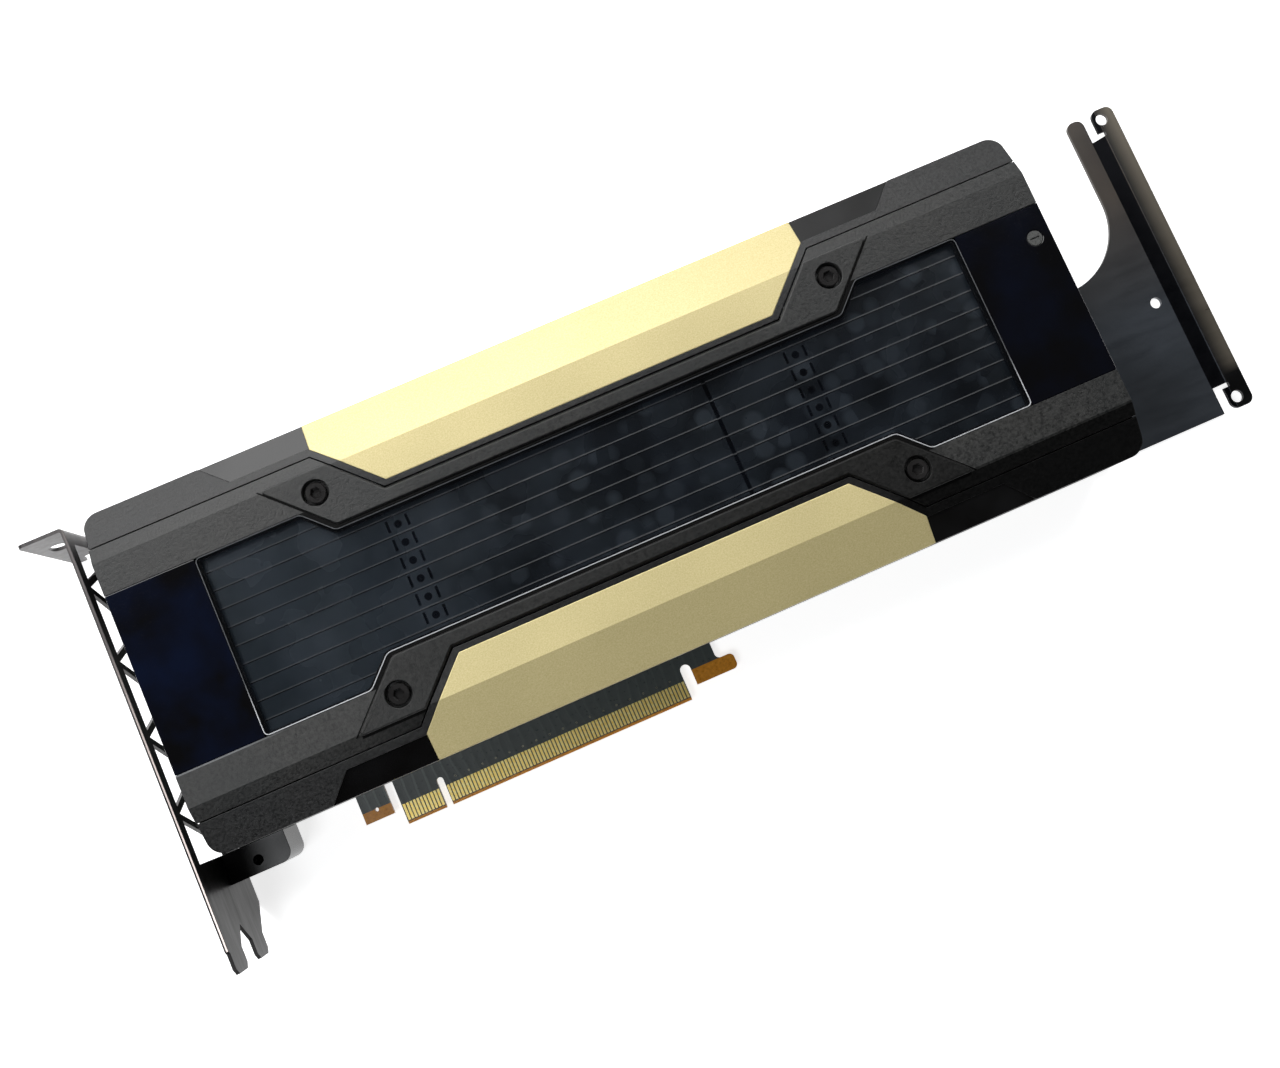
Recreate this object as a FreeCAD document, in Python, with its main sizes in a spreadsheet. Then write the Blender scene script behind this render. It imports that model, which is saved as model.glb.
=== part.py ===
import FreeCAD, Part
import Sketcher
import operator
import os
import types

# A passive accelerator card, full height, two slots wide, with its full-length extender.
# Millimetres. X runs along the card from the outer face of the slot bracket to the tail,
# Y goes up from the tips of the edge contacts, and Z rises from the board's component side.

SIZES = [
    # the board and its edge
    ("board_thick", 1.57, "printed board"),
    ("board_left", 3.0, "board's end behind the bracket"),
    ("board_tail", 2.7, "board beyond the cover's tail end"),
    ("board_inset", 0.4, "board's long edges inside the shells' outer faces"),
    ("guide_wide", 8.2, "short tab beside the contacts"),
    ("guide_gap", 2.5, "between the short tab and the finger tab"),
    ("guide_low", 4.3, "short tab's lower edge"),
    ("guide_hole", 0.55, "radius of the hole in the short tab"),
    ("guide_hole_up", 2.8, "that hole over the tab's lower edge"),
    ("key_x", 59.05, "centre of the key notch"),
    ("key_wide", 1.9, "key notch"),
    ("key_deep", 8.35, "top of the key notch"),
    ("finger_before", 12.15, "finger tab before the key centre"),
    ("finger_after", 72.15, "finger tab after the key centre"),
    ("finger_bevel", 0.45, "lead-in along the finger tab"),
    ("latch_slot", 3.0, "slot between finger tab and hook"),
    ("latch_deep", 9.7, "top of that slot"),
    ("hook_low", 3.2, "hook's foot, lower edge"),
    ("hook_high", 7.6, "hook's foot, upper edge"),
    ("hook_foot", 12.4, "hook's foot along the card"),
    ("hook_neck", 7.6, "hook's neck along the card"),
    ("hook_round", 1.4, "hook's corners"),
    ("contact_pitch", 1.0, "edge contacts"),
    ("contact_wide", 0.7, "one contact"),
    ("contact_low", 1.0, "contact's lower end"),
    ("contact_high", 5.6, "contact's upper end"),
    ("contact_thick", 0.05, "contact over the board"),
    ("contact_key", 1.5, "first contact from the key centre"),
    # the cover
    ("cover_left", 4.0, "cover's end near the bracket"),
    ("cover_long", 261.0, "cover's length"),
    ("cover_low", 12.4, "cover's lower edge over the contact tips"),
    ("cover_half", 46.8, "cover's half width"),
    ("roof_top", 34.0, "flat top of the cover"),
    ("roof_thick", 2.6, "roof"),
    ("roof_fall", 0.404, "fall of the sloped sides for each millimetre"),
    ("fold_half", 33.2, "where the roof starts to fall"),
    ("wall_thick", 1.6, "side walls"),
    ("corner_round", 4.0, "cover's corners"),
    ("seam_half", 37.2, "parting line between the frame and the side shells"),
    ("seam_inner", 22.2, "parting line beside the gold inlays"),
    ("seam_run", 33.0, "parting line's slanted ends"),
    ("seam_gap", 0.3, "open width of the parting line"),
    ("tuck_wide", 2.0, "lip of the side shells under the frame"),
    ("tuck_thick", 1.2, "that lip"),
    ("gold_inner", 24.0, "gold inlay's inner edge"),
    ("gold_run", 30.1, "gold inlay's slanted ends"),
    ("gold_step", 2.3, "slanted end's outward turn beyond the parting line"),
    ("gold_thick", 1.0, "gold sheet"),
    ("gold_wrap", 8.0, "gold sheet down the wall"),
    ("accent_step", 2.6, "sunk side inlay's inner edge beyond the parting line"),
    ("accent_run", 51.7, "its slanted end"),
    ("accent_deep", 0.8, "its seat"),
    ("accent_thick", 0.3, "its sheet"),
    ("panel_half", 24.4, "window and end panels"),
    ("panel_thick", 1.2, "seat of the window and end panels"),
    ("panel_gap", 0.12, "play round the window and end panels"),
    ("panel_long", 24.1, "end panels along the card"),
    ("window_waist", 17.3, "window between the braces"),
    ("window_run", 53.5, "window's slanted corners"),
    ("window_sink", 0.1, "window below the roof"),
    ("window_bevel", 0.5, "bevel round the window"),
    ("window_bend", 2.5, "rounds where the window narrows"),
    ("window_corner", 1.2, "window's end corners"),
    ("ledge", 0.9, "ledge under the window"),
    ("brace_high", 0.8, "brace over the roof"),
    ("brace_inner", 18.1, "brace's inner edge"),
    ("brace_outer", 33.8, "brace's outer edge"),
    ("brace_run", 51.7, "brace's slanted inner ends"),
    ("brace_tip", 84.3, "brace from the middle to its tip"),
    ("brace_bevel", 0.35, "brace's upper edges"),
    ("brace_round", 0.8, "brace's tips"),
    ("screw_u", 71.82, "brace screws from the middle, along"),
    ("screw_v", 27.74, "brace screws from the middle, across"),
    ("well_radius", 3.5, "screw wells in the braces"),
    ("head_radius", 2.7, "brace screw head"),
    ("head_high", 2.4, "brace screw head"),
    ("head_sink", 0.4, "screw head below the brace"),
    ("shank_radius", 1.5, "brace screw"),
    ("shank_long", 8.0, "brace screw"),
    ("hex_radius", 1.45, "hexagon socket"),
    ("hex_deep", 1.3, "hexagon socket"),
    ("hole_play", 0.15, "clearance round the screws"),
    ("boss_radius", 4.7, "screw bosses under the frame"),
    ("boss_drop", 1.8, "screw bosses under the frame"),
    ("panel_screw_in", 4.5, "small screw from the cover's tail end"),
    ("panel_screw_v", 15.8, "small screw from the middle line"),
    ("panel_head", 2.0, "small screw's head"),
    ("panel_shank", 1.0, "small screw's thread"),
    ("panel_boss", 3.2, "boss below the small screw"),
    ("drive_long", 2.6, "small screw's driver slot"),
    ("drive_wide", 0.45, "small screw's driver slot"),
    # heat sink
    ("base_start", 18.0, "heat sink base from the cover's end"),
    ("base_stop", 19.0, "heat sink base from the cover's tail end"),
    ("base_play", 0.8, "heat sink base from the side walls"),
    ("base_under", 6.0, "space between board and base"),
    ("base_thick", 3.0, "heat sink base"),
    ("fin_start", 3.0, "fins from the base's end"),
    ("fin_stop", 2.0, "fins from the base's tail end"),
    ("fin_pitch", 5.07, "between fins"),
    ("fin_thick", 0.4, "fin sheet"),
    ("fin_clear", 0.4, "tops of the fins under the cover"),
    ("fin_seam", 0.1, "gap between folded fin tops"),
    ("lock_offset", 56.0, "interlock bands from the middle"),
    ("lock_wide", 5.4, "interlock band"),
    ("lock_slit", 0.7, "slits along the band"),
    ("lock_hole", 1.1, "square hole in the band"),
    ("break_offset", 30.8, "gap across the middle fins"),
    ("break_wide", 1.1, "gap across the middle fins"),
    ("break_half", 18.5, "gap across the middle fins"),
    ("post_radius", 2.2, "cover posts"),
    ("post_play", 0.5, "room round the posts in the fins"),
    # processor and power parts
    ("chip_back", 16.5, "processor's centre before the cover's middle"),
    ("package_side", 50.0, "processor package"),
    ("package_thick", 1.8, "processor package"),
    ("die_long", 32.0, "processor die"),
    ("die_wide", 26.0, "processor die"),
    ("die_thick", 0.8, "processor die"),
    ("stack_long", 11.8, "memory stack"),
    ("stack_wide", 7.8, "memory stack"),
    ("stack_gap", 0.6, "memory stack from the die"),
    ("paste_thick", 0.1, "thermal paste"),
    ("pedestal_side", 46.0, "pedestal of the heat sink base"),
    ("choke_stop", 44.0, "last choke from the cover's tail end"),
    ("choke_pitch", 11.0, "between chokes"),
    ("choke_row", 24.0, "rows of chokes from the middle line"),
    ("choke_side", 9.6, "choke"),
    ("choke_high", 4.8, "choke"),
    ("stage_row", 12.5, "rows of power stages"),
    ("stage_side", 5.6, "power stage"),
    ("stage_thick", 0.9, "power stage"),
    ("pad_thick", 0.9, "thermal pad"),
    ("capacitor_start", 14.0, "first capacitor from the base's end"),
    ("capacitor_pitch", 9.0, "between capacitors"),
    ("capacitor_row", 21.0, "rows of capacitors"),
    ("capacitor_side", 6.6, "capacitor"),
    ("capacitor_high", 3.1, "capacitor"),
    # power inlet
    ("inlet_mouth", 0.7, "power inlet's mouth inside the board's tail"),
    ("inlet_long", 15.0, "power inlet housing"),
    ("inlet_down", 22.4, "power inlet's middle from the board's upper edge"),
    ("inlet_wide", 18.9, "power inlet housing"),
    ("inlet_low", 0.4, "power inlet over the board"),
    ("inlet_high", 10.2, "power inlet housing"),
    ("latch_high", 0.8, "latch over the power inlet"),
    ("cell_pitch", 4.2, "inlet cells"),
    ("cell_side", 3.5, "inlet cell"),
    ("cell_deep", 11.5, "inlet cell"),
    ("pin_side", 1.0, "inlet pin"),
    ("pin_play", 0.05, "room round a pin in the housing's back wall"),
    ("pin_tip", 1.6, "pin behind the housing's mouth"),
    ("pin_back", 1.2, "pin's bend behind the housing"),
    ("pin_step", 1.8, "between the two rows' bends"),
    # back of the card
    ("back_clear", 1.23, "space between board and back plate"),
    ("back_thick", 1.2, "back plate"),
    ("back_start", 14.0, "back plate from the cover's end"),
    ("back_stop", 18.6, "back plate from the cover's tail end"),
    ("back_inset", 2.2, "back plate's long edges inside the cover's"),
    ("back_round", 3.0, "back plate's corners"),
    ("sheet_thick", 0.25, "insulating sheet"),
    ("sheet_inset", 8.0, "insulating sheet from the back plate's ends"),
    ("sheet_clear", 0.9, "insulating sheet from the spacers"),
    ("back_screw_end", 8.5, "back screws from the base's ends"),
    ("back_screw_edge", 3.9, "back screws from the base's long edges"),
    ("back_head", 2.3, "countersunk head"),
    ("back_shank", 1.25, "countersunk screw"),
    ("back_reach", 4.0, "screw above the board"),
    ("spacer_radius", 3.0, "spacer and boss"),
    ("recess_radius", 0.8, "driver recess"),
    ("recess_deep", 0.5, "driver recess"),
    # slot bracket
    ("bracket_thick", 0.95, "bracket steel"),
    ("bracket_below", 3.6, "bracket below the board's component side"),
    ("bracket_wide", 38.74, "two-slot bracket"),
    ("bracket_drop", 1.6, "top of the bent tab under the board's upper edge"),
    ("bracket_bend", 1.5, "outer bend of the tab"),
    ("tab_long", 11.43, "bent tab"),
    ("tab_round", 1.5, "tab's corners"),
    ("tongue_tip", 16.0, "tongues below the contacts' edge"),
    ("tongue_wide", 10.19, "tongue"),
    ("tongue_inset", 7.5, "first tongue from the bracket's edge"),
    ("tongue_bevel", 1.5, "tongue's corners"),
    ("shoulder_y", 3.0, "where the bracket starts to narrow"),
    ("slot_pitch", 20.32, "between slots"),
    ("notch_wide", 4.42, "screw notch"),
    ("notch_x", 6.1, "screw notch from the outer face"),
    ("notch_reach", 5.4, "open notch along the tab"),
    ("notch_long", 7.2, "closed notch"),
    ("vent_lead", 3.3, "vents' lower end before the first triangle"),
    ("vent_trail", 1.5, "vents' upper end after the last triangle"),
    ("vent_margin", 4.4, "vents' upper end under the bent tab"),
    ("vent_low", 8.5, "vents' lower line"),
    ("vent_high", 31.2, "vents' upper line"),
    ("vent_strut", 1.9, "strut between vents, along"),
    ("lug_right", 18.5, "lower lug"),
    ("lug_low", 4.3, "lower lug"),
    ("lug_high", 14.0, "lower lug"),
    ("lug_round", 3.0, "lower lug's corner"),
    ("lug_hole", 1.3, "hole in the lug"),
    ("lug_hole_x", 9.8, "hole in the lug"),
    ("lug_hole_y", 7.6, "hole in the lug"),
    ("lug_hole_deep", 8.0, "hole in the lug"),
    ("foot_left", 3.4, "lug's foot on the board"),
    ("foot_long", 12.0, "lug's foot on the board"),
    ("foot_wide", 9.6, "lug's foot on the board"),
    ("foot_high", 4.0, "lug's foot on the board"),
    ("foot_play", 0.3, "gap round the foot in the wall"),
    ("upper_lug_drop", 18.0, "upper lug's lower side under the bent tab"),
    ("upper_lug_wide", 10.0, "upper lug"),
    ("upper_lug_long", 12.0, "upper lug"),
    ("upper_lug_high", 10.0, "upper lug"),
    ("lug_screw_x", 9.0, "screws under the lugs"),
    ("bracket_screw_z", 5.0, "screws through the bracket"),
    ("bracket_screw_y", 9.0, "lower screw through the bracket"),
    ("bracket_head", 2.2, "bracket screw's head, sunk flush"),
    ("bracket_head_high", 0.5, "bracket screw's head"),
    ("lug_head_high", 1.0, "head of the screws under the lugs"),
    ("bracket_shank_long", 6.5, "bracket screw"),
    ("lug_reach", 3.4, "screws under the lugs, over the board"),
    # extender
    ("extender_gap", 0.4, "between the back plate and the extender"),
    ("extender_long", 65.2, "extender, to the full length of the card"),
    ("extender_inset", 1.0, "extender's lower edge inside the cover's"),
    ("extender_rise", 3.0, "extender's upper edge beyond the cover's"),
    ("extender_thick", 1.2, "extender steel"),
    ("joggle_end", 8.3, "joggle's start from the extender's end"),
    ("joggle_run", 3.3, "joggle's run"),
    ("joggle_lean", 0.44, "joggle's lower bends after its upper bends"),
    ("cutout_clear", 2.3, "cable cut-out beyond the board"),
    ("cutout_end", 13.5, "cable cut-out from the extender's end"),
    ("cutout_deep", 45.7, "cable cut-out from the extender's upper edge"),
    ("cutout_round", 20.0, "cable cut-out's large round"),
    ("cutout_small", 6.0, "cable cut-out's small round"),
    ("relief_wide", 1.6, "relief slots beside the ears"),
    ("relief_reach", 8.0, "relief slots' length"),
    ("relief_foot", 3.6, "relief slots' foot"),
    ("relief_foot_high", 1.3, "relief slots' foot"),
    ("ear_hole_end", 4.1, "ear holes from the extender's end"),
    ("ear_hole_in", 3.2, "ear holes from the long edges"),
    ("ear_hole", 1.75, "ear hole"),
    ("ear_round", 2.2, "ear corners"),
    ("mid_hole_end", 12.2, "hole in the extender's middle, from its end"),
    ("mid_hole_down", 8.6, "hole in the extender's middle, under the middle line"),
    ("mid_hole", 1.6, "hole in the extender's middle"),
    ("extender_screw_in", 10.2, "extender screws from its inner end"),
    ("extender_screw_low", 8.4, "lower screw from the board's lower edge"),
    ("extender_screw_down", 8.0, "middle screw under the middle line"),
    ("extender_screw_high", 5.4, "upper screw from the board's upper edge"),
    ("standoff_radius", 2.9, "extender standoffs"),
]

CHOKES_IN_ROW = 6
CAPACITORS_IN_ROW = 5
BACK_SCREWS_IN_ROW = 3
VENTS = 4
ROOT_TWO = 2 ** 0.5
TINY = 0.001
MARGIN = 2.0

document = FreeCAD.newDocument("accelerator_card")
sheet = document.addObject("Spreadsheet::Sheet", "sizes")


class Size:
    """A length as a number, together with the sheet expression that gives it."""

    def __init__(self, value, text):
        self.value = value
        self.text = text

    def __float__(self):
        return self.value

    def __add__(self, other):
        return joined(self, "+", other)

    def __radd__(self, other):
        return joined(other, "+", self)

    def __sub__(self, other):
        return joined(self, "-", other)

    def __rsub__(self, other):
        return joined(other, "-", self)

    def __mul__(self, other):
        return joined(self, "*", other)

    def __rmul__(self, other):
        return joined(other, "*", self)

    def __truediv__(self, other):
        return joined(self, "/", other)

    def __neg__(self):
        return joined(0.0, "-", self)


SIGNS = {"+": operator.add, "-": operator.sub, "*": operator.mul, "/": operator.truediv}


def joined(left, sign, right):
    left_text = left.text if isinstance(left, Size) else repr(float(left))
    right_text = right.text if isinstance(right, Size) else repr(float(right))
    value = SIGNS[sign](float(left), float(right))
    return Size(value, "(%s %s %s)" % (left_text, sign, right_text))


def fill_sheet():
    names = {}
    for row, (alias, value, note) in enumerate(SIZES, start=1):
        sheet.set("A%d" % row, note)
        sheet.set("B%d" % row, str(value))
        sheet.setAlias("B%d" % row, alias)
        names[alias] = Size(value, "sizes." + alias)
    document.recompute()
    return types.SimpleNamespace(**names)


dim = fill_sheet()

# Places that several pieces share, worked out from the sheet
mid_x = dim.cover_left + dim.cover_long / 2
mid_y = dim.cover_low + dim.cover_half
cover_right = dim.cover_left + dim.cover_long
cover_high = mid_y + dim.cover_half
window_left = dim.cover_left + dim.panel_long
window_right = cover_right - dim.panel_long
board_low = dim.cover_low + dim.board_inset
board_high = cover_high - dim.board_inset
board_right = cover_right + dim.board_tail
finger_left = dim.key_x - dim.finger_before
finger_right = dim.key_x + dim.finger_after
gold_corner = dim.seam_half + dim.gold_step
accent_inner = dim.seam_half + dim.accent_step
base_left = dim.cover_left + dim.base_start
base_right = cover_right - dim.base_stop
base_half = dim.cover_half - dim.wall_thick - dim.base_play
base_top = dim.base_under + dim.base_thick
chip_x = mid_x - dim.chip_back
first_choke = cover_right - dim.choke_stop - dim.choke_pitch * (CHOKES_IN_ROW - 1)
inlet_left = board_right - dim.inlet_mouth - dim.inlet_long
inlet_y = board_high - dim.inlet_down
back_left = dim.cover_left + dim.back_start
back_right = cover_right - dim.back_stop
back_half = dim.cover_half - dim.back_inset
back_high = -(dim.board_thick + dim.back_clear)
back_low = back_high - dim.back_thick
bracket_top = board_high - dim.bracket_drop
upper_lug_low = bracket_top - dim.upper_lug_drop
extender_left = back_right + dim.extender_gap
extender_right = extender_left + dim.extender_long
extender_low = dim.cover_low + dim.extender_inset
extender_high = cover_high + dim.extender_rise


# Building blocks

def bind(item, path, size):
    if isinstance(size, Size):
        item.setExpression(path, size.text)
    else:
        item.setExpression(path, repr(float(size)))


def new_body(label):
    body = document.addObject("PartDesign::Body", label)
    body.Label = label
    return body


NORMAL_SIGN = {"XY": 1.0, "YZ": 1.0, "XZ": -1.0}


def sketch_on(body, name, plane, level):
    """A sketch on one of the body's own origin planes, at a level along that plane's axis."""
    sketch = body.newObject("Sketcher::SketchObject", name)
    support = [item for item in body.Origin.OriginFeatures if item.Role == plane + "_Plane"][0]
    sketch.AttachmentSupport = [(support, "")]
    sketch.MapMode = "FlatFace"
    bind(sketch, "AttachmentOffset.Base.z", level * NORMAL_SIGN[plane])
    return sketch


def draw(sketch, loops):
    """Circles are given as three values, outlines as lists of points; all are added in one go."""
    shapes = []
    rules = []
    sizes = []

    def hold(kind, size, *where):
        sizes.append((len(rules), size))
        rules.append(Sketcher.Constraint(kind, *where, float(size)))

    for loop in loops:
        first = len(shapes)
        if isinstance(loop, tuple):
            x, y, radius = loop
            centre = FreeCAD.Vector(float(x), float(y), 0)
            shapes.append(Part.Circle(centre, FreeCAD.Vector(0, 0, 1), float(radius)))
            hold("Radius", radius, first)
            hold("DistanceX", x, first, 3)
            hold("DistanceY", y, first, 3)
            continue
        corners = [FreeCAD.Vector(float(x), float(y), 0) for x, y in loop]
        for step, (x, y) in enumerate(loop):
            following = (step + 1) % len(loop)
            shapes.append(Part.LineSegment(corners[step], corners[following]))
            rules.append(Sketcher.Constraint("Coincident", first + step, 2, first + following, 1))
            hold("DistanceX", x, first + step, 1)
            hold("DistanceY", y, first + step, 1)
    sketch.addGeometry(shapes, False)
    sketch.addConstraint(rules)
    for number, size in sizes:
        bind(sketch, "Constraints[%d]" % number, size)


def rectangle(x_low, x_high, y_low, y_high):
    return [(x_low, y_low), (x_high, y_low), (x_high, y_high), (x_low, y_high)]


def add(body, name, plane, level, loops, length):
    """Pads the loops from the level along the positive axis."""
    sketch = sketch_on(body, name + "_sketch", plane, level)
    draw(sketch, loops)
    feature = body.newObject("PartDesign::Pad", name)
    feature.Profile = sketch
    feature.Reversed = plane == "XZ"
    bind(feature, "Length", length)
    return feature


def cut(body, name, plane, level, loops, length):
    """Pockets the loops from the level along the positive axis."""
    document.recompute()
    before = body.Tip.Shape.Volume
    sketch = sketch_on(body, name + "_sketch", plane, level)
    draw(sketch, loops)
    feature = body.newObject("PartDesign::Pocket", name)
    feature.Profile = sketch
    feature.Reversed = plane != "XZ"
    bind(feature, "Length", length)
    document.recompute()
    if feature.Shape.Volume >= before - TINY:
        raise RuntimeError(body.Label + ": " + name + " removes nothing")
    return feature


def is_upright(edge, axis, corners):
    """True for a straight edge along the axis that stands on one of the corners."""
    ends = [edge.Vertexes[0].Point, edge.Vertexes[-1].Point]
    across = [number for number in range(3) if number != axis]
    for number in across:
        if abs(ends[0][number] - ends[1][number]) > TINY:
            return False
    for corner in corners:
        near = [abs(ends[0][number] - float(corner[place])) < TINY for place, number in enumerate(across)]
        if all(near):
            return True
    return False


def dress(body, kind, name, size, wanted):
    """Fillets or chamfers the wanted edges of the body as it stands."""
    document.recompute()
    tip = body.Tip
    edges = ["Edge%d" % (number + 1) for number, edge in enumerate(tip.Shape.Edges) if wanted(edge)]
    if not edges:
        raise RuntimeError(body.Label + ": no edge for " + name)
    feature = body.newObject("PartDesign::" + kind, name)
    feature.Base = (tip, edges)
    bind(feature, "Radius" if kind == "Fillet" else "Size", size)
    return feature


def round_corners(body, name, radius, axis, corners):
    return dress(body, "Fillet", name, radius, lambda edge: is_upright(edge, axis, corners))


def chamfer_level(body, name, size, level):
    """Chamfers every edge that lies flat at one height."""
    def wanted(edge):
        heights = [vertex.Z for vertex in edge.Vertexes]
        return all(abs(height - float(level)) < TINY for height in heights)
    return dress(body, "Chamfer", name, size, wanted)


def block(label, plane, level, loops, length):
    """A body with one pad."""
    body = new_body(label)
    add(body, label + "_pad", plane, level, loops, length)
    return body


def boolean(kind, label, base, tool):
    item = document.addObject("Part::" + kind, label)
    item.Label = label
    item.Base = base
    item.Tool = tool
    return item


def mirrored(label, source, axis, middle):
    """The source, mirrored across the card's middle line or middle length."""
    item = document.addObject("Part::Mirroring", label)
    item.Label = label
    item.Source = source
    item.Normal = FreeCAD.Vector(1, 0, 0) if axis == "x" else FreeCAD.Vector(0, 1, 0)
    bind(item, "Base." + axis, middle)
    return item


def together(label, items):
    """One node of separate solids."""
    item = document.addObject("Part::Compound", label)
    item.Label = label
    item.Links = items
    return item


def copies(label, master, spots):
    """One node of separate solids: the master's shape set down at each spot."""
    document.recompute()
    shapes = []
    for spot in spots:
        shape = master.Shape.copy()
        shape.translate(FreeCAD.Vector(*[float(value) for value in spot]))
        shapes.append(shape)
    item = document.addObject("Part::Feature", label)
    item.Label = label
    item.Shape = Part.makeCompound(shapes)
    return item


def roof(half):
    """Height of the roof's outside at a distance from the middle line, beyond the fold."""
    return dim.roof_top - (half - dim.fold_half) * dim.roof_fall


def across(half):
    """A distance from the card's middle line as a place."""
    return mid_y + half


def steps_in(room, pitch):
    """How many whole steps of a pattern the room holds."""
    return int(float(room) / float(pitch) + TINY)


# The printed board and its gold contacts

def back_screw_spots():
    first = base_left + dim.back_screw_end
    pitch = (base_right - dim.back_screw_end - first) / (BACK_SCREWS_IN_ROW - 1)
    along = [first + pitch * number for number in range(BACK_SCREWS_IN_ROW)]
    edge = base_half - dim.back_screw_edge
    return [(x, across(edge * side)) for side in (-1, 1) for x in along]


def extender_screw_spots():
    x = extender_left + dim.extender_screw_in
    rows = [board_low + dim.extender_screw_low, mid_y - dim.extender_screw_down,
            board_high - dim.extender_screw_high]
    return [(x, y) for y in rows]


def lug_screw_spots():
    lower = dim.cover_low + dim.foot_wide / 2
    upper = upper_lug_low + dim.upper_lug_wide / 2
    return [(dim.lug_screw_x, lower), (dim.lug_screw_x, upper)]


def make_board():
    neck_left = finger_right + dim.latch_slot
    foot_right = neck_left + dim.hook_foot
    neck_right = neck_left + dim.hook_neck
    guide_right = finger_left - dim.guide_gap
    guide_left = guide_right - dim.guide_wide
    edge = [
        (dim.board_left, board_low),
        (guide_left, board_low),
        (guide_left, dim.guide_low),
        (guide_right, dim.guide_low),
        (guide_right, board_low),
        (finger_left, board_low),
        (finger_left, 0.0),
        (finger_right, 0.0),
        (finger_right, dim.hook_low),
        (foot_right, dim.hook_low),
        (foot_right, dim.hook_high),
        (neck_right, dim.hook_high),
        (neck_right, board_low),
        (board_right, board_low),
        (board_right, board_high),
        (dim.board_left, board_high),
    ]
    body = block("board", "XY", -dim.board_thick, [edge], dim.board_thick)
    key_half = dim.key_wide / 2
    key_round = dim.key_deep - key_half
    slot_half = dim.latch_slot / 2
    slot_x = finger_right + slot_half
    slot_round = dim.latch_deep - slot_half
    floor = -dim.board_thick - MARGIN
    depth = dim.board_thick + 2 * MARGIN
    slots = [
        rectangle(dim.key_x - key_half, dim.key_x + key_half, -MARGIN, key_round),
        rectangle(finger_right, neck_left, -MARGIN, slot_round),
    ]
    cut(body, "slots", "XY", floor, slots, depth)
    hook = [(foot_right, dim.hook_low), (foot_right, dim.hook_high), (neck_right, dim.hook_high)]
    round_corners(body, "hook_rounds", dim.hook_round, 2, hook)
    cut(body, "key_end", "XY", floor, [(dim.key_x, key_round, key_half)], depth)
    cut(body, "slot_end", "XY", floor, [(slot_x, slot_round, slot_half)], depth)
    screws = back_screw_spots() + extender_screw_spots() + lug_screw_spots()
    holes = [(x, y, dim.back_shank + dim.hole_play) for x, y in screws]
    guide_x = (guide_left + guide_right) / 2
    holes.append((guide_x, dim.guide_low + dim.guide_hole_up, dim.guide_hole))
    cut(body, "screw_holes", "XY", floor, holes, depth)

    def lead_in(edge):
        ends = [vertex.Point for vertex in edge.Vertexes]
        return all(abs(point.y) < TINY for point in ends) and abs(ends[0].x - ends[-1].x) > TINY
    dress(body, "Chamfer", "finger_bevel", dim.finger_bevel, lead_in)


def make_contacts():
    """As many contacts as each side of the key holds, on both faces of the board."""
    master = document.addObject("Part::Box", "contact_pad")
    bind(master, "Length", dim.contact_wide)
    bind(master, "Width", dim.contact_high - dim.contact_low)
    bind(master, "Height", dim.contact_thick)
    taken = dim.contact_key + dim.contact_wide / 2
    offsets = []
    for side, room in ((-1, dim.finger_before), (1, dim.finger_after)):
        for number in range(steps_in(room - taken, dim.contact_pitch) + 1):
            offsets.append((dim.contact_key + dim.contact_pitch * number) * side)
    spots = []
    for offset in offsets:
        x = dim.key_x + offset - dim.contact_wide / 2
        spots.append((x, dim.contact_low, 0.0))
        spots.append((x, dim.contact_low, -dim.board_thick - dim.contact_thick))
    copies("edge_contacts", master, spots)


# The cover: frame, side shells, inlays, braces, window and end panels

def open_plan(half, waist, run, left, right):
    """The window's outline, with its ends and the width between the braces."""
    return [
        (left, across(-half)),
        (mid_x - run - half, across(-half)),
        (mid_x - run - waist, across(-waist)),
        (mid_x + run + waist, across(-waist)),
        (mid_x + run + half, across(-half)),
        (right, across(-half)),
        (right, across(half)),
        (mid_x + run + half, across(half)),
        (mid_x + run + waist, across(waist)),
        (mid_x - run - waist, across(waist)),
        (mid_x - run - half, across(half)),
        (left, across(half)),
    ]


def bends(plan):
    """The points where the window's outline narrows and widens again."""
    return plan[1:5] + plan[7:11]


def brace_screw_spots():
    return [(mid_x + dim.screw_u * a, across(dim.screw_v * b)) for a in (-1, 1) for b in (-1, 1)]


def head_seat():
    return dim.roof_top + dim.brace_high - dim.head_sink - dim.head_high


def boss_bottom():
    return dim.roof_top - dim.roof_thick - dim.boss_drop


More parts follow.
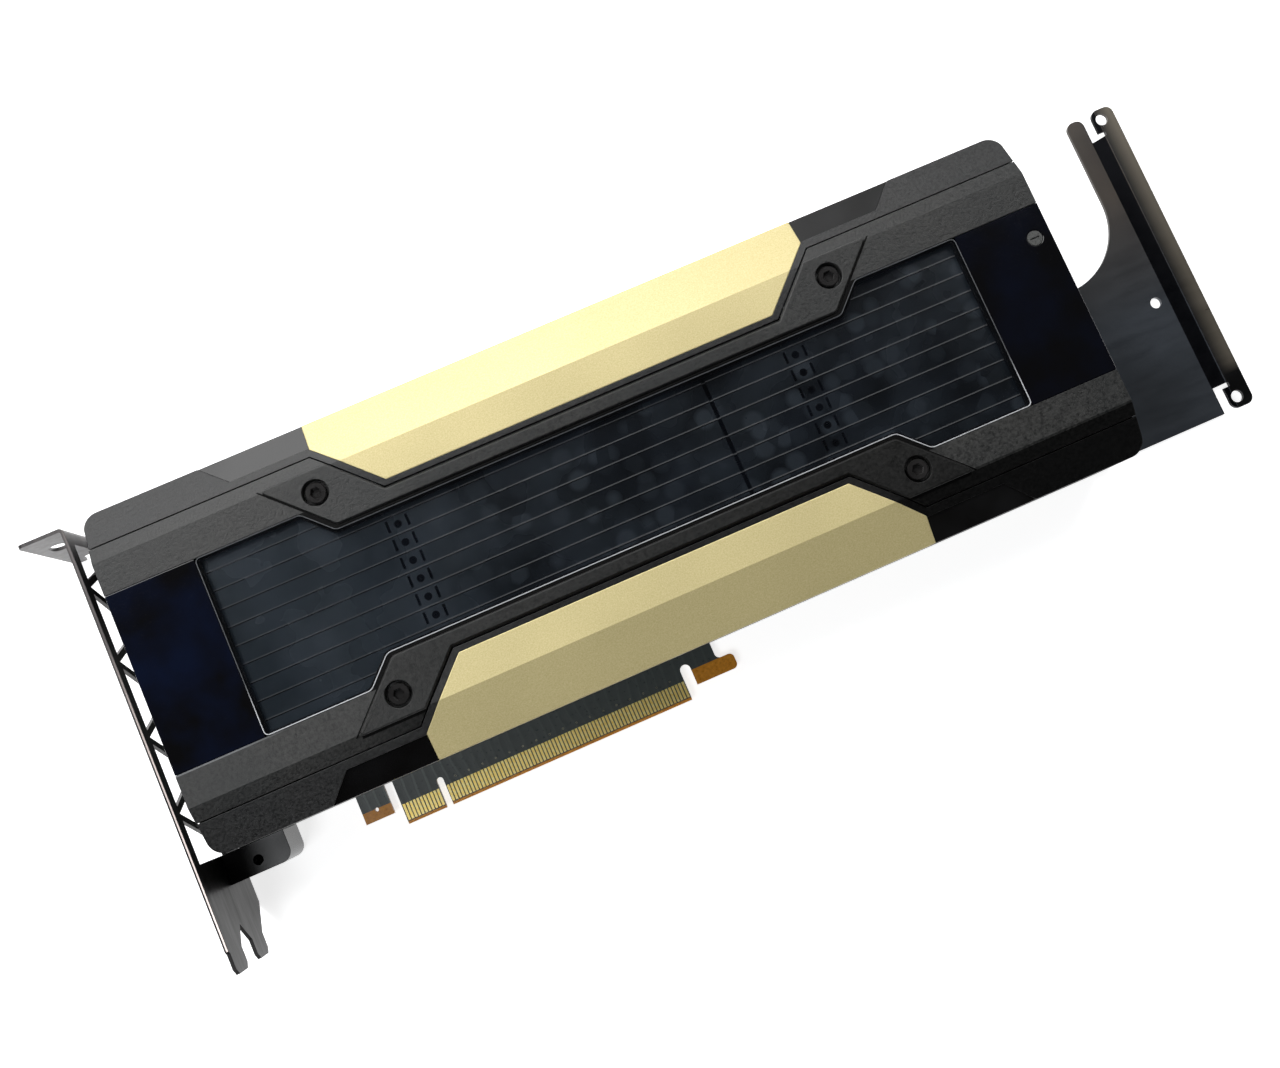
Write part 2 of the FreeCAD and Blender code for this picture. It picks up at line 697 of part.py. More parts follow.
def make_cover_frame():
    under = dim.roof_top - dim.roof_thick
    seam_z = roof(dim.seam_half)
    section = [
        (across(-dim.seam_half), seam_z),
        (across(-dim.fold_half), dim.roof_top),
        (across(dim.fold_half), dim.roof_top),
        (across(dim.seam_half), seam_z),
        (across(dim.seam_half), seam_z - dim.roof_thick),
        (across(dim.fold_half), under),
        (across(-dim.fold_half), under),
        (across(-dim.seam_half), seam_z - dim.roof_thick),
    ]
    body = block("cover_frame", "YZ", dim.cover_left, [section], dim.cover_long)
    floor = seam_z - dim.roof_thick - MARGIN
    through = dim.roof_top - floor + MARGIN
    far = dim.seam_half + MARGIN
    bays = []
    for side in (-1, 1):
        bays.append([
            (mid_x - dim.seam_run - far, across(far * side)),
            (mid_x - dim.seam_run - dim.seam_inner, across(dim.seam_inner * side)),
            (mid_x + dim.seam_run + dim.seam_inner, across(dim.seam_inner * side)),
            (mid_x + dim.seam_run + far, across(far * side)),
        ])
    cut(body, "gold_bays", "XY", floor, bays, through)
    bosses = [(x, y, dim.boss_radius) for x, y in brace_screw_spots()]
    add(body, "screw_bosses", "XY", boss_bottom(), bosses, dim.boss_drop + dim.roof_thick / 2)
    small_x = cover_right - dim.panel_screw_in
    small_y = across(dim.panel_screw_v)
    boss_low = under - dim.panel_boss
    small_boss = [(small_x, small_y, dim.panel_head + dim.panel_shank)]
    add(body, "small_boss", "XY", boss_low, small_boss, dim.panel_boss + dim.roof_thick / 2)
    seat = open_plan(dim.panel_half, dim.window_waist, dim.window_run,
                     dim.cover_left - MARGIN, cover_right + MARGIN)
    cut(body, "panel_seat", "XY", dim.roof_top - dim.panel_thick, [seat], dim.panel_thick + MARGIN)
    round_corners(body, "seat_bends", dim.window_bend, 2, bends(seat))
    hole = open_plan(dim.panel_half - dim.ledge, dim.window_waist - dim.ledge,
                     dim.window_run + dim.ledge * ROOT_TWO,
                     window_left + dim.ledge, window_right - dim.ledge)
    cut(body, "window_hole", "XY", floor, [hole], through)
    round_corners(body, "hole_bends", dim.window_bend, 2, bends(hole))
    wells = [(x, y, dim.well_radius) for x, y in brace_screw_spots()]
    cut(body, "screw_wells", "XY", head_seat(), wells, dim.head_high + MARGIN)
    shanks = [(x, y, dim.shank_radius + dim.hole_play) for x, y in brace_screw_spots()]
    cut(body, "shank_holes", "XY", boss_bottom() - MARGIN, shanks, dim.roof_thick + dim.boss_drop + MARGIN)
    thread = [(small_x, small_y, dim.panel_shank)]
    cut(body, "small_thread", "XY", boss_low - MARGIN, thread, dim.panel_boss + dim.roof_thick + MARGIN)


def band(inner, outer, above, below):
    """A strip of the sloped roof between two distances from the middle line, in section."""
    return [
        (across(inner), roof(inner) + above),
        (across(outer), roof(outer) + above),
        (across(outer), roof(outer) - below),
        (across(inner), roof(inner) - below),
    ]


def make_gold():
    """The gold inlay: a folded strip, cut to its plan by an upright block."""
    wall_z = roof(dim.cover_half)
    inside = dim.cover_half - dim.gold_thick
    section = [
        (across(dim.gold_inner), dim.roof_top),
        (across(dim.fold_half), dim.roof_top),
        (across(dim.cover_half), wall_z),
        (across(dim.cover_half), wall_z - dim.gold_wrap),
        (across(inside), wall_z - dim.gold_wrap),
        (across(inside), roof(inside) - dim.gold_thick),
        (across(dim.fold_half), dim.roof_top - dim.gold_thick),
        (across(dim.gold_inner), dim.roof_top - dim.gold_thick),
    ]
    strip = block("gold_strip", "YZ", dim.cover_left, [section], dim.cover_long)
    end = dim.gold_run + gold_corner
    plan = [
        (mid_x - end, across(dim.cover_half + MARGIN)),
        (mid_x - end, across(gold_corner)),
        (mid_x - dim.gold_run - dim.gold_inner, across(dim.gold_inner)),
        (mid_x + dim.gold_run + dim.gold_inner, across(dim.gold_inner)),
        (mid_x + end, across(gold_corner)),
        (mid_x + end, across(dim.cover_half + MARGIN)),
    ]
    outline_block = block("gold_plan", "XY", 0.0, [plan], dim.roof_top + MARGIN)
    return boolean("Common", "gold_inlay_upper", strip, outline_block)


def accent_plan():
    """The four-sided plan of the sunk side inlays at both ends of the gold."""
    end = dim.gold_run + gold_corner
    far = dim.cover_half + MARGIN
    plans = []
    for side in (-1, 1):
        plans.append([
            (mid_x + (dim.accent_run + accent_inner) * side, across(accent_inner)),
            (mid_x + (dim.accent_run + far) * side, across(far)),
            (mid_x + end * side, across(far)),
            (mid_x + end * side, across(accent_inner)),
        ])
    return plans


def make_accents():
    """The sunk inlays and, a little thicker, the seats that are cut for them."""
    height = dim.roof_top + MARGIN
    sheet_band = band(accent_inner, dim.cover_half, dim.accent_thick - dim.accent_deep, dim.accent_deep)
    seat_band = band(accent_inner, dim.cover_half + MARGIN, MARGIN, dim.accent_deep)
    sheet_strip = block("accent_strip", "YZ", dim.cover_left, [sheet_band], dim.cover_long)
    seat_strip = block("accent_seat_strip", "YZ", dim.cover_left, [seat_band], dim.cover_long)
    sheet_plan = block("accent_plan", "XY", 0.0, accent_plan(), height)
    seat_plan = block("accent_seat_plan", "XY", 0.0, accent_plan(), height)
    upper = boolean("Common", "accents_upper", sheet_strip, sheet_plan)
    seats = boolean("Common", "accent_seats", seat_strip, seat_plan)
    lower = mirrored("accents_lower", upper, "y", mid_y)
    together("side_inlays", [upper, lower])
    return seats


def make_shell_upper(gold, seats):
    inner = dim.seam_inner + dim.seam_gap
    inside = dim.cover_half - dim.wall_thick
    under = dim.roof_top - dim.roof_thick
    section = [
        (across(inner), dim.roof_top),
        (across(dim.fold_half), dim.roof_top),
        (across(dim.cover_half), roof(dim.cover_half)),
        (across(dim.cover_half), 0.0),
        (across(inside), 0.0),
        (across(inside), roof(inside) - dim.roof_thick),
        (across(dim.fold_half), under),
        (across(inner), under),
    ]
    body = block("shell_blank", "YZ", dim.cover_left, [section], dim.cover_long)
    seam = dim.seam_half + dim.seam_gap
    run = dim.seam_run - dim.seam_gap * ROOT_TWO
    low = inner - MARGIN
    bays = []
    for side, end in ((-1, dim.cover_left - MARGIN), (1, cover_right + MARGIN)):
        bays.append([
            (end, across(seam)),
            (mid_x + (run + seam) * side, across(seam)),
            (mid_x + (run + low) * side, across(low)),
            (end, across(low)),
        ])
    cut(body, "frame_bays", "XY", 0.0, bays, dim.roof_top + MARGIN)
    lip = band(dim.seam_half - dim.tuck_wide, inside, -dim.roof_thick, dim.roof_thick + dim.tuck_thick)
    add(body, "tuck_lip", "YZ", dim.cover_left, [lip], dim.cover_long)
    corners = [(dim.cover_left, across(dim.cover_half)), (cover_right, across(dim.cover_half))]
    round_corners(body, "end_rounds", dim.corner_round, 2, corners)
    seated = boolean("Cut", "shell_with_gold_seat", body, gold)
    return boolean("Cut", "side_shell_upper", seated, seats)


def make_shell_lower(upper):
    """The lower shell is the upper one mirrored, with a way through for the lug's foot."""
    blank = mirrored("shell_mirrored", upper, "y", mid_y)
    way = rectangle(dim.foot_left - dim.foot_play, dim.foot_left + dim.foot_long + dim.foot_play,
                    -MARGIN, dim.foot_high + dim.foot_play)
    tool = block("foot_way", "XZ", dim.cover_low - MARGIN, [way], dim.wall_thick + 2 * MARGIN)
    boolean("Cut", "side_shell_lower", blank, tool)


def make_window():
    half = dim.panel_half - dim.panel_gap
    waist = dim.window_waist - dim.panel_gap
    run = dim.window_run + dim.panel_gap * ROOT_TWO
    plan = open_plan(half, waist, run, window_left, window_right)
    top = dim.roof_top - dim.window_sink
    body = block("window_panel", "XY", dim.roof_top - dim.panel_thick, [plan],
                 dim.panel_thick - dim.window_sink)
    round_corners(body, "bends", dim.window_bend, 2, bends(plan))
    round_corners(body, "corners", dim.window_corner, 2, [point for point in plan if point not in bends(plan)])
    chamfer_level(body, "bevel", dim.window_bevel, top)


def make_end_panels():
    half = dim.panel_half - dim.panel_gap
    floor = dim.roof_top - dim.panel_thick
    left_plan = rectangle(dim.cover_left, window_left - dim.panel_gap, across(-half), across(half))
    right_plan = rectangle(window_right + dim.panel_gap, cover_right, across(-half), across(half))
    block("end_panel_left", "XY", floor, [left_plan], dim.panel_thick)
    right = block("end_panel_right", "XY", floor, [right_plan], dim.panel_thick)
    hole = [(cover_right - dim.panel_screw_in, across(dim.panel_screw_v), dim.panel_head + dim.hole_play)]
    cut(right, "screw_hole", "XY", floor - MARGIN, hole, dim.panel_thick + 2 * MARGIN)


def make_brace():
    outer_run = dim.seam_run + dim.hole_play
    outer_in = dim.seam_inner - dim.seam_gap
    tip_in = dim.brace_tip - dim.brace_run
    plan = []
    for side in (-1, 1):
        half = [
            (mid_x + (outer_run + outer_in) * side, across(outer_in)),
            (mid_x + (outer_run + dim.brace_outer) * side, across(dim.brace_outer)),
            (mid_x + dim.brace_tip * side, across(dim.brace_outer)),
            (mid_x + dim.brace_tip * side, across(tip_in)),
            (mid_x + (dim.brace_run + dim.brace_inner) * side, across(dim.brace_inner)),
        ]
        plan += half if side < 0 else half[::-1]
    body = block("brace_upper", "XY", dim.roof_top, [plan], dim.brace_high)
    round_corners(body, "bends", dim.window_bend, 2, plan[4:6])
    round_corners(body, "tips", dim.brace_round, 2, plan[2:4] + plan[6:8])
    chamfer_level(body, "bevel", dim.brace_bevel, dim.roof_top + dim.brace_high)
    wells = [(x, y, dim.well_radius) for x, y in brace_screw_spots() if float(y) > float(mid_y)]
    cut(body, "screw_wells", "XY", dim.roof_top - MARGIN, wells, dim.brace_high + 2 * MARGIN)
    return body


def moved(loop, x, y):
    """An outline round the origin, set down at a place."""
    return [(x + u, y + v) for u, v in loop]


def hexagon(radius):
    """A regular hexagon round the origin."""
    slant = 3 ** 0.5 / 2
    return [
        (radius, 0.0),
        (radius / 2, radius * slant),
        (-radius / 2, radius * slant),
        (-radius, 0.0),
        (-radius / 2, -radius * slant),
        (radius / 2, -radius * slant),
    ]


def make_brace_screws():
    seat = head_seat()
    master = block("brace_screw", "XY", seat, [(0.0, 0.0, dim.head_radius)], dim.head_high)
    add(master, "shank", "XY", seat - dim.shank_long, [(0.0, 0.0, dim.shank_radius)], dim.shank_long)
    cut(master, "socket", "XY", seat + dim.head_high - dim.hex_deep, [hexagon(dim.hex_radius)],
        dim.hex_deep + MARGIN)
    chamfer_level(master, "crown", dim.brace_bevel / 2, seat + dim.head_high)
    copies("brace_screws", master, [(x, y, 0.0) for x, y in brace_screw_spots()])


def make_panel_screw():
    x = cover_right - dim.panel_screw_in
    y = across(dim.panel_screw_v)
    seat = dim.roof_top - dim.panel_thick
    head = dim.panel_thick - dim.window_sink
    body = block("panel_screw", "XY", seat, [(x, y, dim.panel_head)], head)
    reach = dim.roof_thick - dim.panel_thick + dim.panel_boss
    add(body, "shank", "XY", seat - reach, [(x, y, dim.panel_shank)], reach)
    slot = rectangle(x - dim.drive_long / 2, x + dim.drive_long / 2,
                     y - dim.drive_wide / 2, y + dim.drive_wide / 2)
    cut(body, "drive_slot", "XY", seat + head - dim.recess_deep, [slot], dim.recess_deep + MARGIN)


# Heat sink: base, folded fins and the posts that carry the cover

def make_base():
    plan = rectangle(base_left, base_right, across(-base_half), across(base_half))
    body = block("heat_sink_base", "XY", dim.base_under, [plan], dim.base_thick)
    die_top = dim.package_thick + dim.die_thick + dim.paste_thick
    half = dim.pedestal_side / 2
    pedestal = rectangle(chip_x - half, chip_x + half, across(-half), across(half))
    add(body, "pedestal", "XY", die_top, [pedestal], dim.base_under - die_top + dim.base_thick / 2)
    rib_low = dim.stage_thick + dim.pad_thick
    add(body, "stage_ribs", "XY", rib_low, stage_strips(), dim.base_under - rib_low + dim.base_thick / 2)
    bosses = [moved(hexagon(dim.spacer_radius), x, y) for x, y in back_screw_spots()]
    add(body, "bosses", "XY", 0.0, bosses, dim.base_under + dim.base_thick / 2)
    threads = [(x, y, dim.back_shank) for x, y in back_screw_spots()]
    cut(body, "threads", "XY", -MARGIN, threads, dim.back_reach + dim.hole_play + MARGIN)


def fin_blank(label, top):
    """A fin is a sheet folded into a channel: a wall with a flange at its foot and one at its top."""
    thick = dim.fin_thick
    reach = dim.fin_pitch - dim.fin_seam
    section = [
        (0.0, base_top),
        (reach, base_top),
        (reach, base_top + thick),
        (thick, base_top + thick),
        (thick, top - thick),
        (reach, top - thick),
        (reach, top),
        (0.0, top),
    ]
    left = base_left + dim.fin_start
    return block(label, "YZ", left, [section], base_right - dim.fin_stop - left)


def around(spots, half):
    """A square round each spot."""
    return [rectangle(x - half, x + half, y - half, y + half) for x, y in spots]


def make_fins():
    """Tall fins as far as the roof is flat, and lower ones out to the base's edge."""
    tall = steps_in(dim.fold_half, dim.fin_pitch)
    reach = steps_in(base_half, dim.fin_pitch)
    fin_top = dim.roof_top - dim.roof_thick - dim.fin_clear
    shoulder = roof(dim.fin_pitch * reach) - dim.roof_thick - dim.tuck_thick - dim.fin_clear
    inner = fin_blank("inner_fin", fin_top)
    outer = fin_blank("outer_fin", shoulder)
    low = dim.fin_thick + dim.lock_slit
    high = dim.fin_pitch - dim.fin_seam - dim.lock_slit
    half_slit = dim.lock_slit / 2
    half_hole = dim.lock_hole / 2
    middle = dim.fin_pitch / 2
    openings = []
    for side in (-1, 1):
        centre = mid_x + dim.lock_offset * side
        openings += around([(centre, middle)], half_hole)
        for edge in (-1, 1):
            x = centre + dim.lock_wide / 2 * edge
            openings.append(rectangle(x - half_slit, x + half_slit, low, high))
    top_cut = fin_top - dim.fin_thick * 2
    cut(inner, "interlocks", "XY", top_cut, openings, dim.fin_thick * 2 + MARGIN)
    rows = [dim.fin_pitch * number for number in range(-tall, tall)]
    far_rows = [dim.fin_pitch * number for number in range(-reach, reach) if not -tall <= number < tall]
    middle_set = copies("inner_fins", inner, [(0.0, across(row), 0.0) for row in rows])
    side_set = copies("outer_fins", outer, [(0.0, across(row), 0.0) for row in far_rows])
    fins = together("fin_stack", [middle_set, side_set])
    rooms = around(brace_screw_spots(), dim.post_radius + dim.post_play)
    room_tool = block("post_rooms", "XY", base_top - MARGIN, rooms, fin_top - base_top + 2 * MARGIN)
    boss_rooms = around(brace_screw_spots(), dim.boss_radius + dim.post_play)
    boss_floor = boss_bottom() - dim.post_play
    boss_tool = block("boss_rooms", "XY", boss_floor, boss_rooms, fin_top - boss_floor + MARGIN)
    gap_x = mid_x + dim.break_offset
    gap = rectangle(gap_x - dim.break_wide / 2, gap_x + dim.break_wide / 2,
                    across(-dim.break_half), across(dim.break_half))
    gap_tool = block("middle_gap", "XY", top_cut, [gap], dim.fin_thick * 2 + MARGIN)
    boolean("Cut", "cooling_fins", fins, together("fin_openings", [room_tool, boss_tool, gap_tool]))


def make_posts():
    length = boss_bottom() - base_top
    master = block("cover_post", "XY", base_top, [hexagon(dim.post_radius)], length)
    depth = dim.shank_long - (head_seat() - boss_bottom()) + dim.hole_play
    cut(master, "thread", "XY", boss_bottom() - depth, [(0.0, 0.0, dim.shank_radius)], depth + MARGIN)
    copies("cover_posts", master, [(x, y, 0.0) for x, y in brace_screw_spots()])


# Processor and power parts on the board

def centred(label, x, y, low, long, wide, high):
    return block(label, "XY", low, [rectangle(x - long / 2, x + long / 2, y - wide / 2, y + wide / 2)], high)


def make_processor():
    top = dim.package_thick
    centred("processor_package", chip_x, mid_y, 0.0, dim.package_side, dim.package_side, top)
    centred("processor_die", chip_x, mid_y, top, dim.die_wide, dim.die_long, dim.die_thick)
    centred("thermal_paste", chip_x, mid_y, top + dim.die_thick, dim.die_wide, dim.die_long, dim.paste_thick)
    stack = centred("memory_stack", 0.0, 0.0, top, dim.stack_wide, dim.stack_long, dim.die_thick)
    offset = dim.die_wide / 2 + dim.stack_gap + dim.stack_wide / 2
    shift = dim.die_long / 4
    spots = [(chip_x + offset * a, across(shift * b), 0.0) for a in (-1, 1) for b in (-1, 1)]
    copies("memory_stacks", stack, spots)


def stage_strips():
    """The strips over both rows of power stages, which the pads and the base's ribs share."""
    left = first_choke - dim.choke_side / 2
    right = left + dim.choke_pitch * CHOKES_IN_ROW
    strips = []
    for side in (-1, 1):
        row = across(dim.stage_row * side)
        strips.append(rectangle(left, right, row - dim.stage_side / 2, row + dim.stage_side / 2))
    return strips


def make_power_parts():
    choke = centred("choke", 0.0, 0.0, 0.0, dim.choke_side, dim.choke_side, dim.choke_high)
    chamfer_level(choke, "top_edges", dim.brace_bevel, dim.choke_high)
    stage = centred("power_stage", 0.0, 0.0, 0.0, dim.stage_side, dim.stage_side, dim.stage_thick)
    along = [first_choke + dim.choke_pitch * number for number in range(CHOKES_IN_ROW)]
    copies("power_chokes", choke, [(x, across(dim.choke_row * side), 0.0) for side in (-1, 1) for x in along])
    copies("power_stages", stage, [(x, across(dim.stage_row * side), 0.0) for side in (-1, 1) for x in along])
    block("thermal_pads", "XY", dim.stage_thick, stage_strips(), dim.pad_thick)
    side = dim.capacitor_side
    case = centred("capacitor", 0.0, 0.0, 0.0, side, side, dim.capacitor_high)
    chamfer_level(case, "top_edges", dim.brace_bevel, dim.capacitor_high)
    first = base_left + dim.capacitor_start
    row = [first + dim.capacitor_pitch * number for number in range(CAPACITORS_IN_ROW)]
    copies("capacitors", case, [(x, across(dim.capacitor_row * v), 0.0) for v in (-1, 1) for x in row])


# The power inlet at the tail

def cell_centres():
    middle = dim.inlet_low + dim.inlet_high / 2
    rows = [middle - dim.cell_pitch / 2, middle + dim.cell_pitch / 2]
    columns = [inlet_y + dim.cell_pitch * step for step in (-1.5, -0.5, 0.5, 1.5)]
    return columns, rows


def squares(columns, rows, half):
    return [rectangle(y - half, y + half, z - half, z + half) for z in rows for y in columns]


def make_inlet():
    low_y = inlet_y - dim.inlet_wide / 2
    high_y = inlet_y + dim.inlet_wide / 2
    mouth = inlet_left + dim.inlet_long
    top = dim.inlet_low + dim.inlet_high
    face = rectangle(low_y, high_y, dim.inlet_low, top)
    body = block("power_inlet", "YZ", inlet_left, [face], dim.inlet_long)
    feet = [
        rectangle(inlet_left, inlet_left + dim.cell_side, low_y, high_y),
        rectangle(mouth - 2 * dim.cell_side, mouth - dim.cell_side, low_y, high_y),
    ]
    add(body, "feet", "XY", 0.0, feet, dim.inlet_low * 2)
    latch = rectangle(inlet_y - dim.cell_side / 2, inlet_y + dim.cell_side / 2,
                      top - dim.latch_high, top + dim.latch_high)
    add(body, "latch", "YZ", inlet_left + dim.inlet_long / 2, [latch], dim.cell_side)
    columns, rows = cell_centres()
    cut(body, "cells", "YZ", mouth - dim.cell_deep, squares(columns, rows, dim.cell_side / 2),
        dim.cell_deep + MARGIN)
    cut(body, "pin_holes", "YZ", inlet_left - MARGIN,
        squares(columns, rows, dim.pin_side / 2 + dim.pin_play), dim.inlet_long)


def make_pins():
    columns, rows = cell_centres()
    half = dim.pin_side / 2
    tip = inlet_left + dim.inlet_long - dim.pin_tip
    body = new_body("inlet_pins")
    for number, row in enumerate(rows):
        back = inlet_left - dim.pin_back - dim.pin_step * number
        straight = squares(columns, [row], half)
        add(body, "pins_%d" % number, "YZ", back, straight, tip - back)
        tails = [rectangle(back, back + dim.pin_side, y - half, y + half) for y in columns]
        add(body, "tails_%d" % number, "XY", 0.0, tails, row)


# The back: plate, insulating sheet, spacers and flush screws

def flush_screw(label, reach):
    """A countersunk screw whose head is flush with the plate's underside."""
    length = reach - back_low
    body = block(label, "XY", back_low, [(0.0, 0.0, dim.back_shank)], length)
    cone = body.newObject("PartDesign::AdditiveCone", label + "_head")
    bind(cone, "Radius1", dim.back_head)
    bind(cone, "Radius2", dim.back_shank)
    bind(cone, "Height", dim.back_head - dim.back_shank)
    bind(cone, "AttachmentOffset.Base.z", back_low)
    bind(cone, "Placement.Base.z", back_low)
    cut(body, label + "_drive", "XY", back_low - MARGIN, [hexagon(dim.recess_radius)],
        dim.recess_deep + MARGIN)
    return body


def countersinks(label, spots):
    """The cones that a plate's screw holes are cut with."""
    cone = document.addObject("Part::Cone", label + "_cone")
    play = dim.hole_play
    bind(cone, "Radius1", dim.back_head + play)
    bind(cone, "Radius2", dim.back_shank + play)
    bind(cone, "Height", dim.back_head - dim.back_shank)
    hole = document.addObject("Part::Cylinder", label + "_hole")
    bind(hole, "Radius", dim.back_shank + play)
    bind(hole, "Height", dim.back_thick + 2 * MARGIN)
    bind(hole, "Placement.Base.z", Size(-MARGIN, repr(-MARGIN)))
    tool = boolean("Fuse", label + "_tool", cone, hole)
    return copies(label, tool, [(x, y, back_low) for x, y in spots])


def make_back_plate():
    corners = rectangle(back_left, back_right, across(-back_half), across(back_half))
    blank = block("back_blank", "XY", back_low, [corners], dim.back_thick)
    round_corners(blank, "corners", dim.back_round, 2, corners)
    boolean("Cut", "back_plate", blank, countersinks("back_countersinks", back_screw_spots()))


def make_back_parts():
    half = base_half - dim.back_screw_edge - dim.spacer_radius - dim.sheet_clear
    plan = rectangle(back_left + dim.sheet_inset, back_right - dim.sheet_inset, across(-half), across(half))
    block("insulating_sheet", "XY", back_high, [plan], dim.sheet_thick)
    spacer = block("spacer", "XY", back_high, [hexagon(dim.spacer_radius)], dim.back_clear)
    cut(spacer, "bore", "XY", back_high - MARGIN, [(0.0, 0.0, dim.back_shank + dim.hole_play)],
        dim.back_clear + 2 * MARGIN)
    spots = back_screw_spots() + extender_screw_spots()
    copies("board_spacers", spacer, [(x, y, 0.0) for x, y in spots])
    screw = flush_screw("back_screw", dim.back_reach)
    copies("back_screws", screw, [(x, y, 0.0) for x, y in back_screw_spots()])
    copies("extender_screws", screw, [(x, y, 0.0) for x, y in extender_screw_spots()])
    post = block("standoff", "XY", 0.0, [hexagon(dim.standoff_radius)], dim.base_under)
    cut(post, "thread", "XY", -MARGIN, [(0.0, 0.0, dim.back_shank)],
        dim.back_reach + dim.hole_play + MARGIN)
    copies("extender_standoffs", post, [(x, y, 0.0) for x, y in extender_screw_spots()])


# The slot bracket, its lugs and screws

def make_bracket():
    thick = dim.bracket_thick
    low = -dim.bracket_below
    high = low + dim.bracket_wide
    first = low + dim.tongue_inset
    second = first + dim.slot_pitch
    tip = -dim.tongue_tip
    bevel = dim.tongue_bevel
    step = high - (second + dim.tongue_wide)
    valley = (dim.slot_pitch - dim.tongue_wide) / 2
    neck = -dim.shoulder_y - dim.tongue_inset
    plate = [(bracket_top, low), (-dim.shoulder_y, low), (neck, first)]
    plate += [(tip + bevel, first), (tip, first + bevel)]
    plate += [(tip, first + dim.tongue_wide - bevel), (tip + bevel, first + dim.tongue_wide)]
    plate += [(neck, first + dim.tongue_wide), (neck + valley, first + dim.tongue_wide + valley)]
    plate += [(neck, second), (tip + bevel, second), (tip, second + bevel)]
    plate += [(tip, second + dim.tongue_wide - bevel), (tip + bevel, second + dim.tongue_wide)]
    plate += [(neck, second + dim.tongue_wide), (neck + step, high), (bracket_top, high)]
    body = block("io_bracket", "YZ", 0.0, [plate], thick)
    tab = rectangle(-dim.tab_long, thick, bracket_top - thick, bracket_top)
    add(body, "tab", "XY", low, [tab], dim.bracket_wide)
    round_corners(body, "outer_bend", dim.bracket_bend, 2, [(thick, bracket_top)])
    round_corners(body, "inner_bend", dim.bracket_bend - thick, 2, [(0.0, bracket_top - thick)])
    ends = [(-dim.tab_long, low), (-dim.tab_long, high)]
    round_corners(body, "tab_corners", dim.tab_round, 1, ends)
    half = dim.notch_wide / 2
    floor = bracket_top - thick - MARGIN
    through = thick + 2 * MARGIN
    open_z = low + dim.notch_reach - half
    closed_z = low + dim.slot_pitch + dim.notch_reach - half
    straight = dim.notch_long - dim.notch_wide
    notches = [
        rectangle(-dim.notch_x - half, -dim.notch_x + half, low - MARGIN, open_z),
        rectangle(-dim.notch_x - half, -dim.notch_x + half, closed_z, closed_z + straight),
    ]
    cut(body, "notches", "XZ", floor, notches, through)
    cut(body, "open_end", "XZ", floor, [(-dim.notch_x, open_z, half)], through)
    cut(body, "closed_low", "XZ", floor, [(-dim.notch_x, closed_z, half)], through)
    cut(body, "closed_high", "XZ", floor, [(-dim.notch_x, closed_z + straight, half)], through)
    cut(body, "vents", "YZ", -MARGIN, vent_outlines(), through)
    holes = [(y, dim.bracket_screw_z, dim.back_shank + dim.hole_play) for y in bracket_screw_rows()]
    cut(body, "screw_holes", "YZ", -MARGIN, holes, through)
    seats = [(y, dim.bracket_screw_z, dim.bracket_head + dim.hole_play) for y in bracket_screw_rows()]
    cut(body, "head_seats", "YZ", -MARGIN, seats, dim.bracket_head_high + MARGIN)


def vent_outlines():
    """Triangles standing up and hanging down in turn, with a cut-off one at each end."""
    low, high = dim.vent_low, dim.vent_high
    start, end = dim.cover_low, bracket_top - dim.vent_margin
    pitch = (end - dim.vent_trail - start - dim.vent_lead) / VENTS
    reach = pitch / 2 - dim.vent_strut
    first = start + dim.vent_lead
    last = end - dim.vent_trail
    vents = []
    for number in range(VENTS):
        y = first + pitch * (number + 0.5)
        vents.append([(y - reach, low), (y + reach, low), (y, high)])
    for number in range(1, VENTS):
        y = first + pitch * number
        vents.append([(y - reach, high), (y, low), (y + reach, high)])
    vents.append([(start, high), (start, low), (first, low), (first + reach, high)])
    vents.append([(last - reach, high), (last, low), (end, low), (end, high)])
    return vents


def bracket_screw_rows():
    return [dim.bracket_screw_y, upper_lug_low + dim.upper_lug_wide / 2]


def make_lugs():
    wall = dim.cover_low
    left = dim.bracket_thick
    lower = block("lug_lower", "XY", -dim.board_thick,
                  [rectangle(left, dim.lug_right, dim.lug_low, wall)], dim.lug_high + dim.board_thick)
    foot = rectangle(dim.foot_left, dim.foot_left + dim.foot_long, wall - MARGIN / 2, wall + dim.foot_wide)
    add(lower, "foot", "XY", 0.0, [foot], dim.foot_high)
    round_corners(lower, "corner", dim.lug_round, 2, [(dim.lug_right, dim.lug_low)])
    hole = [(dim.lug_hole_x, dim.lug_hole_y, dim.lug_hole)]
    cut(lower, "hole", "XY", dim.lug_high - dim.lug_hole_deep, hole, dim.lug_hole_deep + MARGIN)
    plan = rectangle(left, left + dim.upper_lug_long, upper_lug_low, upper_lug_low + dim.upper_lug_wide)
    upper = block("lug_upper", "XY", 0.0, [plan], dim.upper_lug_high)
    for lug, spot, row in zip((lower, upper), lug_screw_spots(), bracket_screw_rows()):
        bore = [(spot[0], spot[1], dim.back_shank)]
        cut(lug, "board_thread", "XY", -MARGIN * 2, bore, dim.lug_reach + MARGIN * 2)
        cut(lug, "bracket_thread", "YZ", left - MARGIN, [(row, dim.bracket_screw_z, dim.back_shank)],
            dim.bracket_shank_long - left + MARGIN)
    together("bracket_lugs", [lower, upper])


